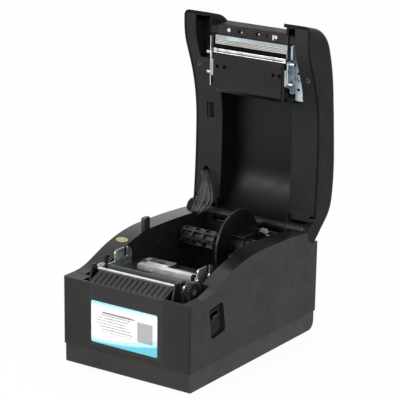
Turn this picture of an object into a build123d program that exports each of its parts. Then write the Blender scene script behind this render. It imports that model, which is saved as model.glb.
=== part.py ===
from build123d import *
from math import acos, asin, atan2, cos, degrees, hypot, pi, radians, sin
import os

os.makedirs("parts", exist_ok=True)

# Frame: X across the printer, Y from front to back, Z up, in millimetres.
# The origin is on the surface the feet stand on, midway along the printer with its cover open.
# Side profiles are given as depth behind the front face and height above the tray's underside.

# Body
body_width = 150.0
body_depth = 226.0
rim_height = 88.5
stand = 2.0
wall = 2.5
seam = 0.3
running_gap = 0.4
overlap = 0.1
far = 300.0
rear_draft = 1.2

half_width = body_width / 2

# Cover hinge and its ears
hinge_depth = body_depth - 8.5
hinge_height = rim_height + 16.5
hinge_pin_diameter = 4.0
hinge_bore_gap = 0.1
barrel_radius = 6.5
barrel_half_length = half_width - 31.0
knuckle_outer_x = half_width - 9.0
knuckle_gap = 0.5
knuckle_skirt = 2.5
washer_thickness = 1.3
ear_radius = 10.0
ear_thickness = 7.0
ear_room = 0.8
open_angle = 90.0
pin_inset = 1.5
pin_cap = 1.0
washer_gap = 0.2
washer_rim = 1.0
hinge_room = 30.0
cover_top = rim_height + 57.47

# Line where base and cover meet: ledge, rise, slope, crest, fall
rim_ledge = 16.0
rim_slope = 21.5
rim_rise_radius = 70.0
rim_slope_length = 16.0
rim_crest_radius = 180.0
rim_fall_radius = 1000.0
rim_end_depth = hinge_depth - 12.5

# The origin lies midway between the front face and the back of the open cover
front_y = -(hinge_depth + cover_top - hinge_height) / 2

# Tray and feet
tray_height = 19.5
tray_inset = 1.5
tray_rear_radius = 9.0
tray_corner_radius = 2.5
foot_diameter = 12.0
foot_recess = 1.0
foot_gap = 0.2
foot_x = half_width - 29.0
foot_front_depth = 22.0
foot_rear_depth = body_depth - 26.0
foot_chamfer = 0.6

# Front bezel and ribbed panel
bezel_depth = 20.6
bezel_fillet = 2.0
panel_width = body_width - 62.0
panel_bottom = 25.0
panel_top = rim_height - 0.5
ramp_depth = 17.0
ramp_rise = 7.6
ramp_rib_count = 14
ramp_rib_width = 2.6
ramp_rib_height = 1.4
label_width = panel_width - 9.0
label_height = 43.0
label_bottom = 28.4
label_shift = -1.9
label_margin = 0.5
label_recess = 0.4
label_corner_radius = 2.0
panel_thickness = 3.0
panel_fillet = 0.8
rib_front = 0.8
rib_nose = 1.0
rib_root = 0.5

# Roll bin
bin_half_width = half_width - 21.0
bin_radius = 47.0
bin_front_depth = 97.0
bin_lip_height = rim_height - 4.5
bin_rear_depth = hinge_depth - 7.5
roll_depth = hinge_depth - 47.5
roll_height = rim_height + 3.5
ramp_foot_drop = 19.0
runner_height = 1.4
runner_thickness = 3.0
runner_front_depth = 105.0
runner_rear_depth = runner_front_depth + 50.0
runner_rise = 18.0
runner_nose = 2.0
runner_front_height = rim_height - 7.0

# Openings in the decks
bay_left_x = 1.0 - bin_half_width
bay_right_x = half_width - 17.5
bay_end_depth = bin_front_depth - 2.5
bay_wall_drop = 9.5
pocket_right_x = half_width - 9.0
pocket_end_depth = 45.0
left_pocket_x = 13.5 - half_width
left_pocket_start = 16.0
left_pocket_end = 29.0

# Roll spindle
spindle_diameter = 8.0
spindle_gap = 0.1
spindle_end_gap = 0.5
spindle_chamfer = 0.8
core_radius = 9.5
core_tube_radius = 5.8
core_left_x = 25.0 - half_width
core_right_x = half_width - 31.0
core_ring_count = 8
core_ring_width = 2.0
core_end_length = 1.0
core_fin_count = 6
core_fin_thickness = 2.0
core_fin_step = 0.6
flange_x = 14.0
flange_radius = 38.4
flange_thickness = 2.2
flange_chamfer = 0.5
flange_bore_gap = 0.3
hub_radius = 12.5
hub_length = 12.5
wing_length = 8.0
wing_reach = 2.0
wing_height = 5.0
wing_thickness = 3.0
lock_block_length = 8.0
lock_block_width = 14.0
lock_block_top = 15.0
lock_block_travel = 0.8
lock_gap = 0.2
lock_fillet = 0.8
lock_frame = 2.0
holder_thickness = 3.2
holder_width = 16.0
holder_corner = 2.0
holder_bottom = roll_height - 14.0
holder_top = roll_height + 7.0

# Print mechanism frame
plate_x = half_width - 25.0
plate_thickness = 1.5
plate_front = 24.0
plate_front_top = rim_height + 1.5
plate_step_depth = 27.0
plate_step_height = rim_height + 7.0
plate_tower_depth = 48.9
plate_rear = 76.5
plate_support_front = plate_front + 8.0
plate_support_rear = plate_rear + 4.0
plate_tail_depth = 92.0
plate_tail_height = rim_height - 8.5
plate_top = rim_height + 17.5
plate_rear_radius = 9.0
plate_front_radius = 3.0
plate_foot_height = 24.0
plate_foot_length = 9.0
plate_window_depth = 68.0
plate_window_height = 54.0
plate_window = (30.0, 36.0)
plate_window_radius = 5.0
shaft_room = 0.6

# Platen and its drive
platen_depth = 33.0
platen_height = rim_height + 1.0
platen_radius = 8.0
platen_half_length = plate_x - 6.5
platen_chamfer = 0.5
platen_shaft_diameter = 6.0
shaft_stub = 1.2
shaft_gap = 0.05
bush_radius = 5.5
bush_flange_radius = 6.8
bush_flange_thickness = 2.0
clip_gap = 0.1
clip_thickness = 1.0
clip_front = 23.0
clip_rear = 31.0
clip_height = rim_height + 8.5
clip_half = 1.7
clip_beak = 4.2
clip_plate_depth = 27.5
clip_plate_height = platen_height + 2.5
clip_plate = (6.0, 12.0)
gear_module = 0.8
gear_width = 4.5
gear_x = plate_x + 4.8
gear_backlash = 0.12
gear_end_gap = 0.2
stud_collar = 1.5
platen_gap = 0.6
platen_teeth = 24
idler_teeth = 28
pinion_teeth = 12
motor_depth = 56.0
motor_height = rim_height - 26.5
motor_size = 35.0
motor_length = 22.0
motor_flange = 2.0
motor_corner_radius = 4.0
motor_shaft_diameter = 4.0

# Latch
latch_depth = 42.0
latch_height = rim_height - 4.5
latch_shaft_diameter = 4.0
latch_eye_radius = 3.8
hook_thickness = 1.8
hook_gap = 1.0
hook_x = plate_x + 1.2

# Tear bar and its holder
tear_bar_height = rim_height + 8.8
tear_bar_thickness = 1.3
tear_bar_front = ramp_depth + 0.4
tear_bar_depth = 4.6
tooth_pitch = 2.0
tooth_depth = 1.0
holder_lip_drop = 14.0
holder_slope_drop = 4.0
cheek_thickness = 2.0
cheek_lean = 4.0
cheek_corner = 2.0
cheek_foot_gap = 1.0
cheek_front_depth = 7.5
cheek_rear_depth = 20.0
cheek_top = rim_height + 13.5

# Paper path behind the platen
guide_front = 45.0
guide_rear = 66.0
guide_height = rim_height - 0.5
guide_thickness = 1.4
guide_lip = 2.5
bed_front = guide_rear + 0.3
bed_rear = bin_front_depth - 0.3
bed_slope_depth = 93.0
bed_bottom = rim_height - 4.3
bed_edge = 1.0
bed_gap = 0.2
groove_left_x = 35.0 - half_width
groove_right_x = half_width - 33.0
groove_floor = rim_height - 2.2
rail_left_x = 39.0 - half_width
rail_right_x = half_width - 37.0
rail_front = 68.0
rail_rear = 76.0
rail_height = rim_height + 1.9
rail_thickness = 1.0
sensor_left_x = groove_left_x + 1.0
sensor_length = 34.0
sensor_front = 76.6
sensor_rear = 92.4
sensor_height = rim_height + 1.7
sensor_corner_radius = 1.5
sensor_gap = 0.2
sensor_window = (8.0, 5.0)
sensor_window_shift = 4.0
sensor_window_radius = 1.0
sensor_window_depth = 2.2

# Guide post on the left deck
post_x = 17.8 - half_width
post_width = 4.6
post_depth = 111.6
post_length = 10.2
post_top = rim_height + 35.0
post_seat = rim_height + 23.4
post_foot_length = 6.0
post_foot_width = 4.0
post_foot_depth = 8.0
post_foot_gap = 0.1
post_corner_radius = 2.0
post_top_radius = 1.5

# Cover
cover_front = 3.4
lip_lean = 4.6
lip_height = 17.5
notch_half_width = panel_width / 2 + 0.5
brow_point = (28.1, 14.77)
top_front_point = (73.0, 5.07)
top_middle_point = (142.9, 0.17)
top_rear_point = (27.3, 2.77)
shoulder_point = (4.9, 15.87)
ear_shoulder = 9.0
shell_fillet_from = rim_height + 24.0
void_fillet_from = rim_height + 30.0
notch_depth = ramp_depth
cover_fillet = 6.0
recess_half_width = half_width - 32.5
recess_wall = 2.0
recess_front = 88.0
recess_rear_height = hinge_height + 2.0
recess_ceiling = roll_height + 45.5
recess_radius = recess_ceiling - roll_height
recess_fillet = 10.0
liner_thickness = 2.5
liner_front_depth = 7.2
liner_rear_depth = rim_end_depth - 2.5
liner_screw_x = half_width - 9.5
liner_screw_front = 60.5
liner_screw_rear = hinge_depth - 36.5
liner_screw_front_seat = rim_height + 15.2
liner_screw_rear_seat = rim_height + 23.8
screw_shank = 2.8
screw_head = 5.6
screw_head_height = 1.6
screw_length = 12.0
screw_well_gap = 0.3
liner_boss_wall = 1.5

# Room for the printhead inside the cover
head_room_left_x = -plate_x - 1.0
head_room_right_x = bay_right_x
head_room_front = notch_depth + wall + 0.3
head_room_ceiling = rim_height + 23.5
slot_left_x = 14.0 - half_width
slot_front = 7.4
slot_rear = 53.0
slot_ceiling = rim_height + 19.5
slot_roof_front = 15.8
post_room_width = 8.6
post_room_length = 18.6

# Printhead
lock_depth = 66.4
lock_height = rim_height + 9.1
lock_diameter = 4.0
lock_outer_x = plate_x + 1.5
stud_depth = 46.0
stud_height = rim_height + 10.0
head_front = 27.5
head_lip_depth = 3.5
head_rear = 60.0
head_half_width = half_width - 32.0
head_top = rim_height + 15.5
head_lip_height = rim_height + 10.1
head_ear_thickness = 1.8
head_ear_overlap = 8.0
head_ear_wall = 3.0
ceramic_front = 31.5
ceramic_bend = 37.2
ceramic_rear = 41.0
ceramic_height = rim_height + 9.4
ceramic_thickness = 1.4
ceramic_drop = 0.4
ceramic_margin = 0.5
head_cover_half_width = half_width - 35.0
head_cover_front = 45.5
head_cover_rear = 86.0
head_cover_height = rim_height + 4.5
head_cover_fillet = 1.5
head_cover_nose = 2.0
head_cover_tail = 4.5
bracket_x = plate_x - 3.5
bracket_thickness = 1.5
arm_margin = 4.5
arm_throat = 3.0
lock_pin_inset = 2.3
lock_pin_gap = 0.1
bracket_flange_length = 57.0
bracket_flange_front = 28.0

# Indicator board over the label exit
board_front = ramp_depth + 0.4
board_rear = 26.8
board_half_width = half_width - 33.0
board_height = rim_height + 13.0
board_thickness = 1.6
board_part_height = 1.2
board_plug_x = 21.0
board_plug_depth = 23.5
board_plug = (7.0, 2.4)
board_chip_depth = 22.0
board_chip = (5.0, 3.2)
board_screw_x = 28.0
board_screw_depth = 21.5
board_screw_head = 3.8
board_screw_shank = 2.0
board_shelf_thickness = 2.0

# Feed button and indicator lens on the cover's top
button_x = half_width - 23.0
button_depth = 46.0
button_radius = 6.0
button_height = rim_height + 48.7
button_skirt = 6.5
button_collar = 1.2
button_fillet = 0.8
button_stem = 4.0
button_stem_length = 11.0
button_gap = 0.3
button_guide_height = 8.0
lens_x = half_width - 41.0
lens_length = 14.0
lens_width = 3.0
lens_gap = 0.1
lens_height = rim_height + 47.9
lens_skirt = 4.6
lens_collar = 1.2

# Power switch in the right side
switch_depth = 45.5
switch_height = rim_height - 27.0
switch_lean = 9.0
scoop_width = 24.0
scoop_height = 31.0
scoop_sink = 4.0
scoop_radius = 4.0
scoop_taper = 8.0
switch_width = 13.0
switch_length = 19.4
switch_gap = 0.1
switch_frame_wall = 1.1
switch_frame_depth = 9.0
switch_brim = 1.5
switch_brim_thickness = 1.0
rocker_angle = 8.0
rocker_pivot = 4.0
rocker_side_gap = 0.35
rocker_end_gap = 1.1
rocker_tip = 2.2
rocker_dip = 0.9
rocker_skirt = 2.5
rocker_taper = 1.2
rocker_foot = (3.0, 1.5)

# Main board with the sockets in the rear wall
mainboard_half_width = half_width - 16.0
mainboard_front = 118.0
mainboard_rear = body_depth - 7.0
mainboard_height = 27.0
mainboard_thickness = 1.6
chip_height = 2.0
chip_x = 18.0
chip_depth = 150.0
chip_size = 20.0
small_chip_x = -20.0
small_chip_size = (14.0, 9.0)
standoff_x = half_width - 23.0
standoff_front = mainboard_front + 6.0
standoff_rear = mainboard_rear - 7.0
standoff_radius = 3.5
power_socket_x = 31.0 - half_width
power_socket_width = 9.0
power_socket_length = 14.0
power_socket_bore = 6.2
power_socket_pin = 2.2
power_socket_bore_depth = 10.0
usb_socket_x = power_socket_x + 22.0
usb_socket_width = 12.0
usb_socket_length = 16.0
usb_socket_mouth = (8.6, 8.0)
usb_socket_tongue = (5.8, 3.4)
usb_socket_mouth_depth = 9.0
socket_height = 11.0
socket_face_gap = 1.8
socket_gap = 0.3

# Wire harness between base and cover
harness_x = 14.0 - half_width
harness_diameter = 6.0
harness_base_depth = hinge_depth - 20.5
harness_cover_depth = hinge_depth - 42.5
harness_start_height = roll_height + 6.0
harness_end_depth = hinge_depth + 13.0
harness_hole = 7.0
harness_bends = (30.0, 12.0)

# Case screws from below
case_screw_x = half_width - 9.0
case_screw_front = 32.0
case_screw_rear = body_depth - 18.0
boss_radius = 4.0
boss_height = 45.0
boss_rib = 2.0
well_wall = 1.5
screw_wall = 3.0
case_screw_head = 2.0
case_screw_length = 17.5


def side(depth, height):
    """Point of a side profile, on Plane.YZ."""
    return (front_y + depth, stand + height)


def plan(x, depth):
    """Point of a plan profile, on Plane.XY."""
    return (x, front_y + depth)


def spot(x, depth, height):
    """Point in space."""
    return (x, front_y + depth, stand + height)


def rim_curve(start_depth, end_depth, lift):
    """Draws the meeting line from front to rear, raised by lift, and returns its rear end."""
    ledge = Line(side(start_depth, rim_height + lift), side(rim_ledge, rim_height + lift))
    rise = JernArc(start=ledge @ 1, tangent=(1, 0), radius=rim_rise_radius, arc_size=rim_slope)
    slope = PolarLine(rise @ 1, length=rim_slope_length, angle=rim_slope)
    crest = JernArc(start=slope @ 1, tangent=slope % 1, radius=rim_crest_radius, arc_size=-rim_slope)
    fall_angle = degrees(asin((front_y + end_depth - (crest @ 1).X) / rim_fall_radius))
    fall = JernArc(start=crest @ 1, tangent=(1, 0), radius=rim_fall_radius, arc_size=-fall_angle)
    return fall @ 1


def on_circle(depth, height, radius, angle):
    """Point of a side profile at an angle on a circle."""
    return side(depth + radius * cos(radians(angle)), height + radius * sin(radians(angle)))


# Shared profiles

# Outer side profile of the base, with the hollow that the hinge ears turn in
ear_room_radius = ear_radius + ear_room
with BuildSketch(Plane.YZ) as base_side:
    with BuildLine():
        rim_end = rim_curve(0, rim_end_depth, 0)
        hollow_start = on_circle(hinge_depth, hinge_height, ear_room_radius, 165)
        hollow_end = on_circle(hinge_depth, hinge_height, ear_room_radius, 270)
        Line(rim_end, hollow_start)
        ThreePointArc(hollow_start, on_circle(hinge_depth, hinge_height, ear_room_radius, 220), hollow_end)
        Polyline(
            hollow_end,
            side(body_depth, hinge_height - ear_room_radius),
            side(body_depth - rear_draft, tray_height + seam),
            side(0, tray_height + seam),
            side(0, rim_height),
        )
    make_face()

with BuildSketch(Plane.YZ) as base_hollow:
    with BuildLine():
        inner_end = rim_curve(wall, rim_end_depth - wall, -wall)
        Polyline(
            inner_end,
            side(rim_end_depth - wall, hinge_height - ear_room_radius - wall),
            side(body_depth - wall, hinge_height - ear_room_radius - wall),
            side(body_depth - rear_draft - wall, tray_height),
            side(wall, tray_height),
            side(wall, rim_height - wall),
        )
    make_face()

# Inside of the roll bin: a round floor, a ramp to the front and a straight rear wall
ramp_angle = 180 + degrees(asin(ramp_foot_drop / bin_radius))
with BuildSketch(Plane.YZ) as bin_side:
    with Locations(side(roll_depth, roll_height)):
        Circle(bin_radius)
    with BuildLine():
        Polyline(
            side(bin_front_depth, bin_lip_height),
            on_circle(roll_depth, roll_height, bin_radius, ramp_angle),
            side(roll_depth, roll_height),
            side(bin_rear_depth, roll_height),
            side(bin_rear_depth, cover_top),
            side(bin_front_depth, cover_top),
            close=True,
        )
    make_face()
    with Locations(side(bin_rear_depth, roll_height)):
        Rectangle(far, far, align=(Align.MIN, Align.CENTER), mode=Mode.SUBTRACT)

with BuildSketch(Plane.YZ) as bin_shell:
    add(bin_side.sketch_local)
    offset(amount=wall, kind=Kind.INTERSECTION, mode=Mode.REPLACE)

# Outer side profile of the closed cover, from the front lip over the top to the ear
with BuildSketch(Plane.YZ) as cover_side:
    with BuildLine():
        cover_rim_end = rim_curve(cover_front, rim_end_depth, running_gap)
        front_face = Line(side(cover_front, rim_height + running_gap), side(cover_front + lip_lean, rim_height + lip_height))
        brow = side(cover_front + brow_point[0], cover_top - brow_point[1])
        front_round = TangentArc(front_face @ 1, brow, tangent=front_face % 1)
        over_front = side(cover_front + top_front_point[0], cover_top - top_front_point[1])
        top_front = TangentArc(brow, over_front, tangent=front_round % 1)
        over_middle = side(cover_front + top_middle_point[0], cover_top - top_middle_point[1])
        top_middle = TangentArc(over_front, over_middle, tangent=top_front % 1)
        over_rear = side(hinge_depth - top_rear_point[0], cover_top - top_rear_point[1])
        top_rear = TangentArc(over_middle, over_rear, tangent=top_middle % 1)
        shoulder = side(hinge_depth - shoulder_point[0], cover_top - shoulder_point[1])
        rear_round = TangentArc(over_rear, shoulder, tangent=top_rear % 1)
        rear_face = Line(shoulder, side(hinge_depth + ear_radius, hinge_height + ear_shoulder))
        ear_front = on_circle(hinge_depth, hinge_height, ear_radius, 165)
        Line(rear_face @ 1, side(hinge_depth + ear_radius, hinge_height))
        ThreePointArc(
            side(hinge_depth + ear_radius, hinge_height),
            on_circle(hinge_depth, hinge_height, ear_radius, 270),
            ear_front,
        )
        Line(ear_front, cover_rim_end)
    make_face()

with BuildSketch(Plane.YZ) as cover_void_side:
    add(cover_side.sketch_local)
    offset(amount=-wall, kind=Kind.ARC, mode=Mode.REPLACE)

# Flat plate of the liner, following the rim
with BuildSketch(Plane.YZ) as liner_side:
    with BuildLine():
        lower_end = rim_curve(liner_front_depth, liner_rear_depth, running_gap)
        upper_end = rim_curve(liner_front_depth, liner_rear_depth, running_gap + liner_thickness)
        Line(lower_end, upper_end)
        Line(
            side(liner_front_depth, rim_height + running_gap),
            side(liner_front_depth, rim_height + running_gap + liner_thickness),
        )
    make_face()

# Space that the plate takes up inside the cover's shell
with BuildSketch(Plane.YZ) as liner_seat:
    with BuildLine():
        seat_lower_end = rim_curve(liner_front_depth, rim_end_depth, running_gap - 1)
        seat_upper_end = rim_curve(liner_front_depth, rim_end_depth, running_gap + 2 * liner_thickness)
        Line(seat_lower_end, seat_upper_end)
        Line(
            side(liner_front_depth, rim_height + running_gap - 1),
            side(liner_front_depth, rim_height + running_gap + 2 * liner_thickness),
        )
    make_face()

# Recess over the roll: straight front and ceiling, then round about the spindle
recess_rear_angle = degrees(asin((recess_rear_height - roll_height) / recess_radius))
recess_rear_depth = roll_depth + recess_radius * cos(radians(recess_rear_angle))
with BuildSketch(Plane.YZ) as recess_side:
    with BuildLine():
        Polyline(
            on_circle(roll_depth, roll_height, recess_radius, recess_rear_angle),
            side(recess_front, recess_rear_height),
            side(recess_front, recess_ceiling),
            side(roll_depth, recess_ceiling),
        )
        ThreePointArc(
            side(roll_depth, recess_ceiling),
            on_circle(roll_depth, roll_height, recess_radius, 45 + recess_rear_angle / 2),
            on_circle(roll_depth, roll_height, recess_radius, recess_rear_angle),
        )
    make_face()
    fillet(recess_side.vertices().group_by(Axis.X)[0].sort_by(Axis.Y)[-1], recess_fillet)

hinge_axis = Axis(spot(0, hinge_depth, hinge_height), (1, 0, 0))
hinge_bore = hinge_pin_diameter / 2 + hinge_bore_gap
bay_floor = bin_lip_height
socket_bottom = stand + mainboard_height + mainboard_thickness
socket_face = body_depth - socket_face_gap


# Base

tray_half_width = half_width - tray_inset
tray_rear = body_depth - tray_inset
with BuildPart() as base_tray:
    with BuildSketch(Plane.YZ) as tray_side:
        with BuildLine():
            Polyline(
                side(tray_inset, 0),
                side(tray_rear, 0),
                side(tray_rear, tray_height),
                side(tray_inset, tray_height),
                close=True,
            )
        make_face()
        fillet(tray_side.vertices().group_by(Axis.Y)[0].sort_by(Axis.X)[-1], tray_rear_radius)
        fillet(tray_side.vertices().group_by(Axis.Y)[0].sort_by(Axis.X)[0], tray_corner_radius)
    extrude(amount=tray_half_width, both=True)
    with BuildSketch(Plane.YZ) as tray_room:
        with BuildLine():
            Polyline(
                side(tray_inset + wall, wall),
                side(tray_rear - wall, wall),
                side(tray_rear - wall, tray_height),
                side(tray_inset + wall, tray_height),
                close=True,
            )
        make_face()
        fillet(tray_room.vertices().group_by(Axis.Y)[0].sort_by(Axis.X)[-1], tray_rear_radius - wall)
    extrude(amount=tray_half_width - wall, both=True, mode=Mode.SUBTRACT)
    tray_floor = Plane.XY.offset(stand + wall)
    with BuildSketch(tray_floor):
        for depth in (standoff_front, standoff_rear):
            with Locations(plan(-standoff_x, depth), plan(standoff_x, depth)):
                Circle(standoff_radius)
    extrude(amount=mainboard_height - wall)
    with BuildSketch(tray_floor):
        for depth in (plate_support_front, plate_support_rear):
            support_x = plate_x - plate_foot_length / 2
            with Locations(plan(-support_x, depth), plan(support_x, depth)):
                Circle(standoff_radius)
    extrude(amount=plate_foot_height - wall)
    with BuildSketch(tray_floor):
        for depth in (case_screw_front, case_screw_rear):
            with Locations(plan(-case_screw_x, depth), plan(case_screw_x, depth)):
                Circle(boss_radius + well_wall)
    extrude(amount=tray_height - wall)
    with BuildSketch(Plane.XY.offset(stand)):
        for depth in (case_screw_front, case_screw_rear):
            with Locations(plan(-case_screw_x, depth), plan(case_screw_x, depth)):
                Circle(screw_head / 2 + running_gap)
    extrude(amount=tray_height - wall - screw_wall, mode=Mode.SUBTRACT)
    with BuildSketch(Plane.XY.offset(stand)):
        for depth in (case_screw_front, case_screw_rear):
            with Locations(plan(-case_screw_x, depth), plan(case_screw_x, depth)):
                Circle(screw_shank / 2 + shaft_gap)
    extrude(amount=tray_height, mode=Mode.SUBTRACT)
    with BuildSketch(Plane.XY.offset(stand)):
        for depth in (foot_front_depth, foot_rear_depth):
            with Locations(plan(-foot_x, depth), plan(foot_x, depth)):
                Circle(foot_diameter / 2 + foot_gap)
    extrude(amount=foot_recess, mode=Mode.SUBTRACT)
base_tray.part.label = "base_tray"
export_step(base_tray.part, "parts/base_tray.step")

with BuildPart() as rubber_feet:
    with BuildSketch(Plane.XY):
        for depth in (foot_front_depth, foot_rear_depth):
            with Locations(plan(-foot_x, depth), plan(foot_x, depth)):
                Circle(foot_diameter / 2)
    extrude(amount=stand + foot_recess)
    chamfer(rubber_feet.edges().group_by(Axis.Z)[0], foot_chamfer)
rubber_feet.part.label = "rubber_feet"
export_step(rubber_feet.part, "parts/rubber_feet.step")

well_top = stand + tray_height - wall - screw_wall
with BuildPart() as case_screws:
    for depth in (case_screw_front, case_screw_rear):
        for x in (-case_screw_x, case_screw_x):
            with BuildSketch(Plane.XY.offset(well_top - case_screw_head)):
                with Locations(plan(x, depth)):
                    Circle(screw_head / 2)
            extrude(amount=case_screw_head)
            with BuildSketch(Plane.XY.offset(well_top - case_screw_head)):
                with Locations(plan(x, depth)):
                    Circle(screw_shank / 2)
            extrude(amount=case_screw_head + case_screw_length)
case_screws.part.label = "case_screws"
export_step(case_screws.part, "parts/case_screws.step")

# Hollow under the decks, around the outside of the bin and behind the walls of the mechanism bay
bay_wall_bottom = rim_height - bay_wall_drop
switch_plane = Plane(
    origin=spot(half_width, switch_depth, switch_height),
    x_dir=(0, cos(radians(switch_lean)), sin(radians(switch_lean))),
    z_dir=(1, 0, 0),
)
with BuildPart() as base_cavity:
    extrude(base_hollow.sketch, amount=half_width - wall, both=True)
    extrude(bin_shell.sketch, amount=bin_half_width + wall, both=True, mode=Mode.SUBTRACT)
    with BuildSketch(Plane.XY.offset(stand + bay_wall_bottom)):
        with BuildLine():
            Polyline(
                plan(bay_right_x, bin_front_depth),
                plan(bay_right_x, pocket_end_depth),
                plan(pocket_right_x, pocket_end_depth),
                plan(pocket_right_x, 0),
                plan(pocket_right_x + wall, 0),
                plan(pocket_right_x + wall, pocket_end_depth + wall),
                plan(bay_right_x + wall, pocket_end_depth + wall),
                plan(bay_right_x + wall, bin_front_depth),
                close=True,
            )
        make_face()
        with BuildLine():
            Polyline(
                plan(bay_left_x, bin_front_depth),
                plan(bay_left_x, 0),
                plan(bay_left_x - wall, 0),
                plan(bay_left_x - wall, bin_front_depth),
                close=True,
            )
        make_face()
    extrude(amount=far, mode=Mode.SUBTRACT)
    with BuildSketch(switch_plane.offset(-scoop_sink - wall)):
        Rectangle(scoop_width + 2 * wall, scoop_height + 2 * wall)
        Rectangle(switch_width, switch_length, mode=Mode.SUBTRACT)
    extrude(amount=scoop_sink, mode=Mode.SUBTRACT)
    with BuildSketch(Plane.XY.offset(stand + tray_height)):
        for depth in (case_screw_front, case_screw_rear):
            for turn in (-1, 1):
                with Locations(plan(turn * case_screw_x, depth)):
                    Circle(boss_radius)
                with Locations(plan(turn * (case_screw_x + boss_radius), depth)):
                    Rectangle(2 * boss_radius, boss_rib)
    extrude(amount=boss_height - tray_height, mode=Mode.SUBTRACT)

with BuildPart() as main_housing:
    extrude(base_side.sketch, amount=half_width, both=True)
    with BuildSketch(Plane.XY):
        with Locations(plan(0, bezel_depth + seam)):
            Rectangle(far, far, align=(Align.CENTER, Align.MAX))
    extrude(amount=far, mode=Mode.SUBTRACT)
    add(base_cavity.part, mode=Mode.SUBTRACT)
    extrude(bin_side.sketch, amount=bin_half_width, both=True, mode=Mode.SUBTRACT)
    # Bay for the print mechanism, with the deeper pocket for the gears on the right
    with BuildSketch(Plane.XY.offset(stand + bay_floor)):
        with BuildLine():
            Polyline(
                plan(bay_left_x, 0),
                plan(bay_left_x, bay_end_depth),
                plan(-bin_half_width, bay_end_depth),
                plan(-bin_half_width, bin_front_depth + overlap),
                plan(bin_half_width, bin_front_depth + overlap),
                plan(bin_half_width, bay_end_depth),
                plan(bay_right_x, bay_end_depth),
                plan(bay_right_x, pocket_end_depth),
                plan(pocket_right_x, pocket_end_depth),
                plan(pocket_right_x, 0),
                close=True,
            )
        make_face()
        with Locations(plan((bay_left_x - wall + left_pocket_x) / 2, (left_pocket_start + left_pocket_end) / 2)):
            Rectangle(bay_left_x - wall - left_pocket_x, left_pocket_end - left_pocket_start)
    extrude(amount=far, mode=Mode.SUBTRACT)
    # Bores for the case screws
    with BuildSketch(Plane.XY.offset(stand)):
        for depth in (case_screw_front, case_screw_rear):
            with Locations(plan(-case_screw_x, depth), plan(case_screw_x, depth)):
                Circle(screw_shank / 2 + shaft_gap)
    extrude(amount=boss_height - wall, mode=Mode.SUBTRACT)
    # Recess for a finger around the power switch, and its cut-out
    with BuildSketch(switch_plane):
        RectangleRounded(scoop_width, scoop_height, scoop_radius)
    extrude(amount=-scoop_sink, taper=scoop_taper, mode=Mode.SUBTRACT)
    with BuildSketch(switch_plane):
        Rectangle(switch_width, switch_length)
    extrude(amount=-3 * scoop_sink, mode=Mode.SUBTRACT)
    # Sockets in the rear wall
    with BuildSketch(Plane.XZ.offset(-front_y - body_depth - seam)):
        with Locations((power_socket_x, socket_bottom + socket_height / 2)):
            Rectangle(power_socket_width + 2 * socket_gap, socket_height + 2 * socket_gap)
        with Locations((usb_socket_x, socket_bottom + socket_height / 2)):
            Rectangle(usb_socket_width + 2 * socket_gap, socket_height + 2 * socket_gap)
    extrude(amount=3 * wall, mode=Mode.SUBTRACT)
    # Hole where the wires leave the left deck, and the slot for the guide post's foot
    with BuildSketch(Plane.XY.offset(stand + holder_bottom)):
        with Locations(plan(harness_x, harness_base_depth)):
            Circle(harness_hole / 2)
        with Locations(plan(post_x, post_depth)):
            Rectangle(post_foot_width + 2 * post_foot_gap, post_foot_depth + 2 * post_foot_gap)
    extrude(amount=far, mode=Mode.SUBTRACT)
    # Raised runner on the left wall of the bin
    with BuildSketch(Plane.YZ.offset(-bin_half_width)):
        with BuildLine():
            Polyline(
                side(runner_front_depth - runner_nose, runner_front_height + runner_thickness),
                side(runner_front_depth, runner_front_height),
                side(runner_rear_depth, runner_front_height + runner_rise),
                side(runner_rear_depth, runner_front_height + runner_rise + runner_thickness),
                close=True,
            )
        make_face()
    extrude(amount=runner_height)
    # Hinge knuckles on short pedestals
    for turn in (-1, 1):
        knuckle_inner = barrel_half_length + knuckle_gap
        with BuildSketch(Plane.YZ.offset(turn * knuckle_inner)):
            with Locations(side(hinge_depth, hinge_height)):
                Circle(barrel_radius)
            with Locations(side(hinge_depth - barrel_radius, hinge_height)):
                Rectangle(barrel_radius + knuckle_skirt, ear_room_radius + wall, align=(Align.MIN, Align.MAX))
        extrude(amount=turn * (knuckle_outer_x - knuckle_inner))
    with BuildSketch(Plane.YZ.offset(-half_width)):
        with Locations(side(hinge_depth, hinge_height)):
            Circle(hinge_pin_diameter / 2 + shaft_gap)
    extrude(amount=body_width, mode=Mode.SUBTRACT)
main_housing.part.label = "main_housing"
export_step(main_housing.part, "parts/main_housing.step")

# Front bezel: a shell around the front corners with an opening for the ribbed panel
with BuildPart() as front_bezel:
    extrude(base_side.sketch, amount=half_width, both=True)
    with BuildSketch(Plane.XY):
        with Locations(plan(0, bezel_depth)):
            Rectangle(far, far, align=(Align.CENTER, Align.MIN))
    extrude(amount=far, mode=Mode.SUBTRACT)
    fillet(front_bezel.edges().filter_by(Axis.Z).group_by(Axis.Y)[0], bezel_fillet)
    add(base_cavity.part, mode=Mode.SUBTRACT)
    with BuildSketch(Plane.XY.offset(stand + panel_bottom - seam)):
        with Locations(plan(0, 0)):
            Rectangle(panel_width + 2 * seam, 2 * bezel_depth)
    extrude(amount=far, mode=Mode.SUBTRACT)
    with BuildSketch(Plane.XY.offset(stand + bay_floor)):
        with BuildLine():
            Polyline(
                plan(bay_left_x, bezel_depth + seam),
                plan(bay_left_x, wall),
                plan(pocket_right_x, wall),
                plan(pocket_right_x, bezel_depth + seam),
                close=True,
            )
        make_face()
        with Locations(plan((bay_left_x - wall + left_pocket_x) / 2, (left_pocket_start + left_pocket_end) / 2)):
            Rectangle(bay_left_x - wall - left_pocket_x, left_pocket_end - left_pocket_start)
    extrude(amount=far, mode=Mode.SUBTRACT)
front_bezel.part.label = "front_bezel"
export_step(front_bezel.part, "parts/front_bezel.step")

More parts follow.
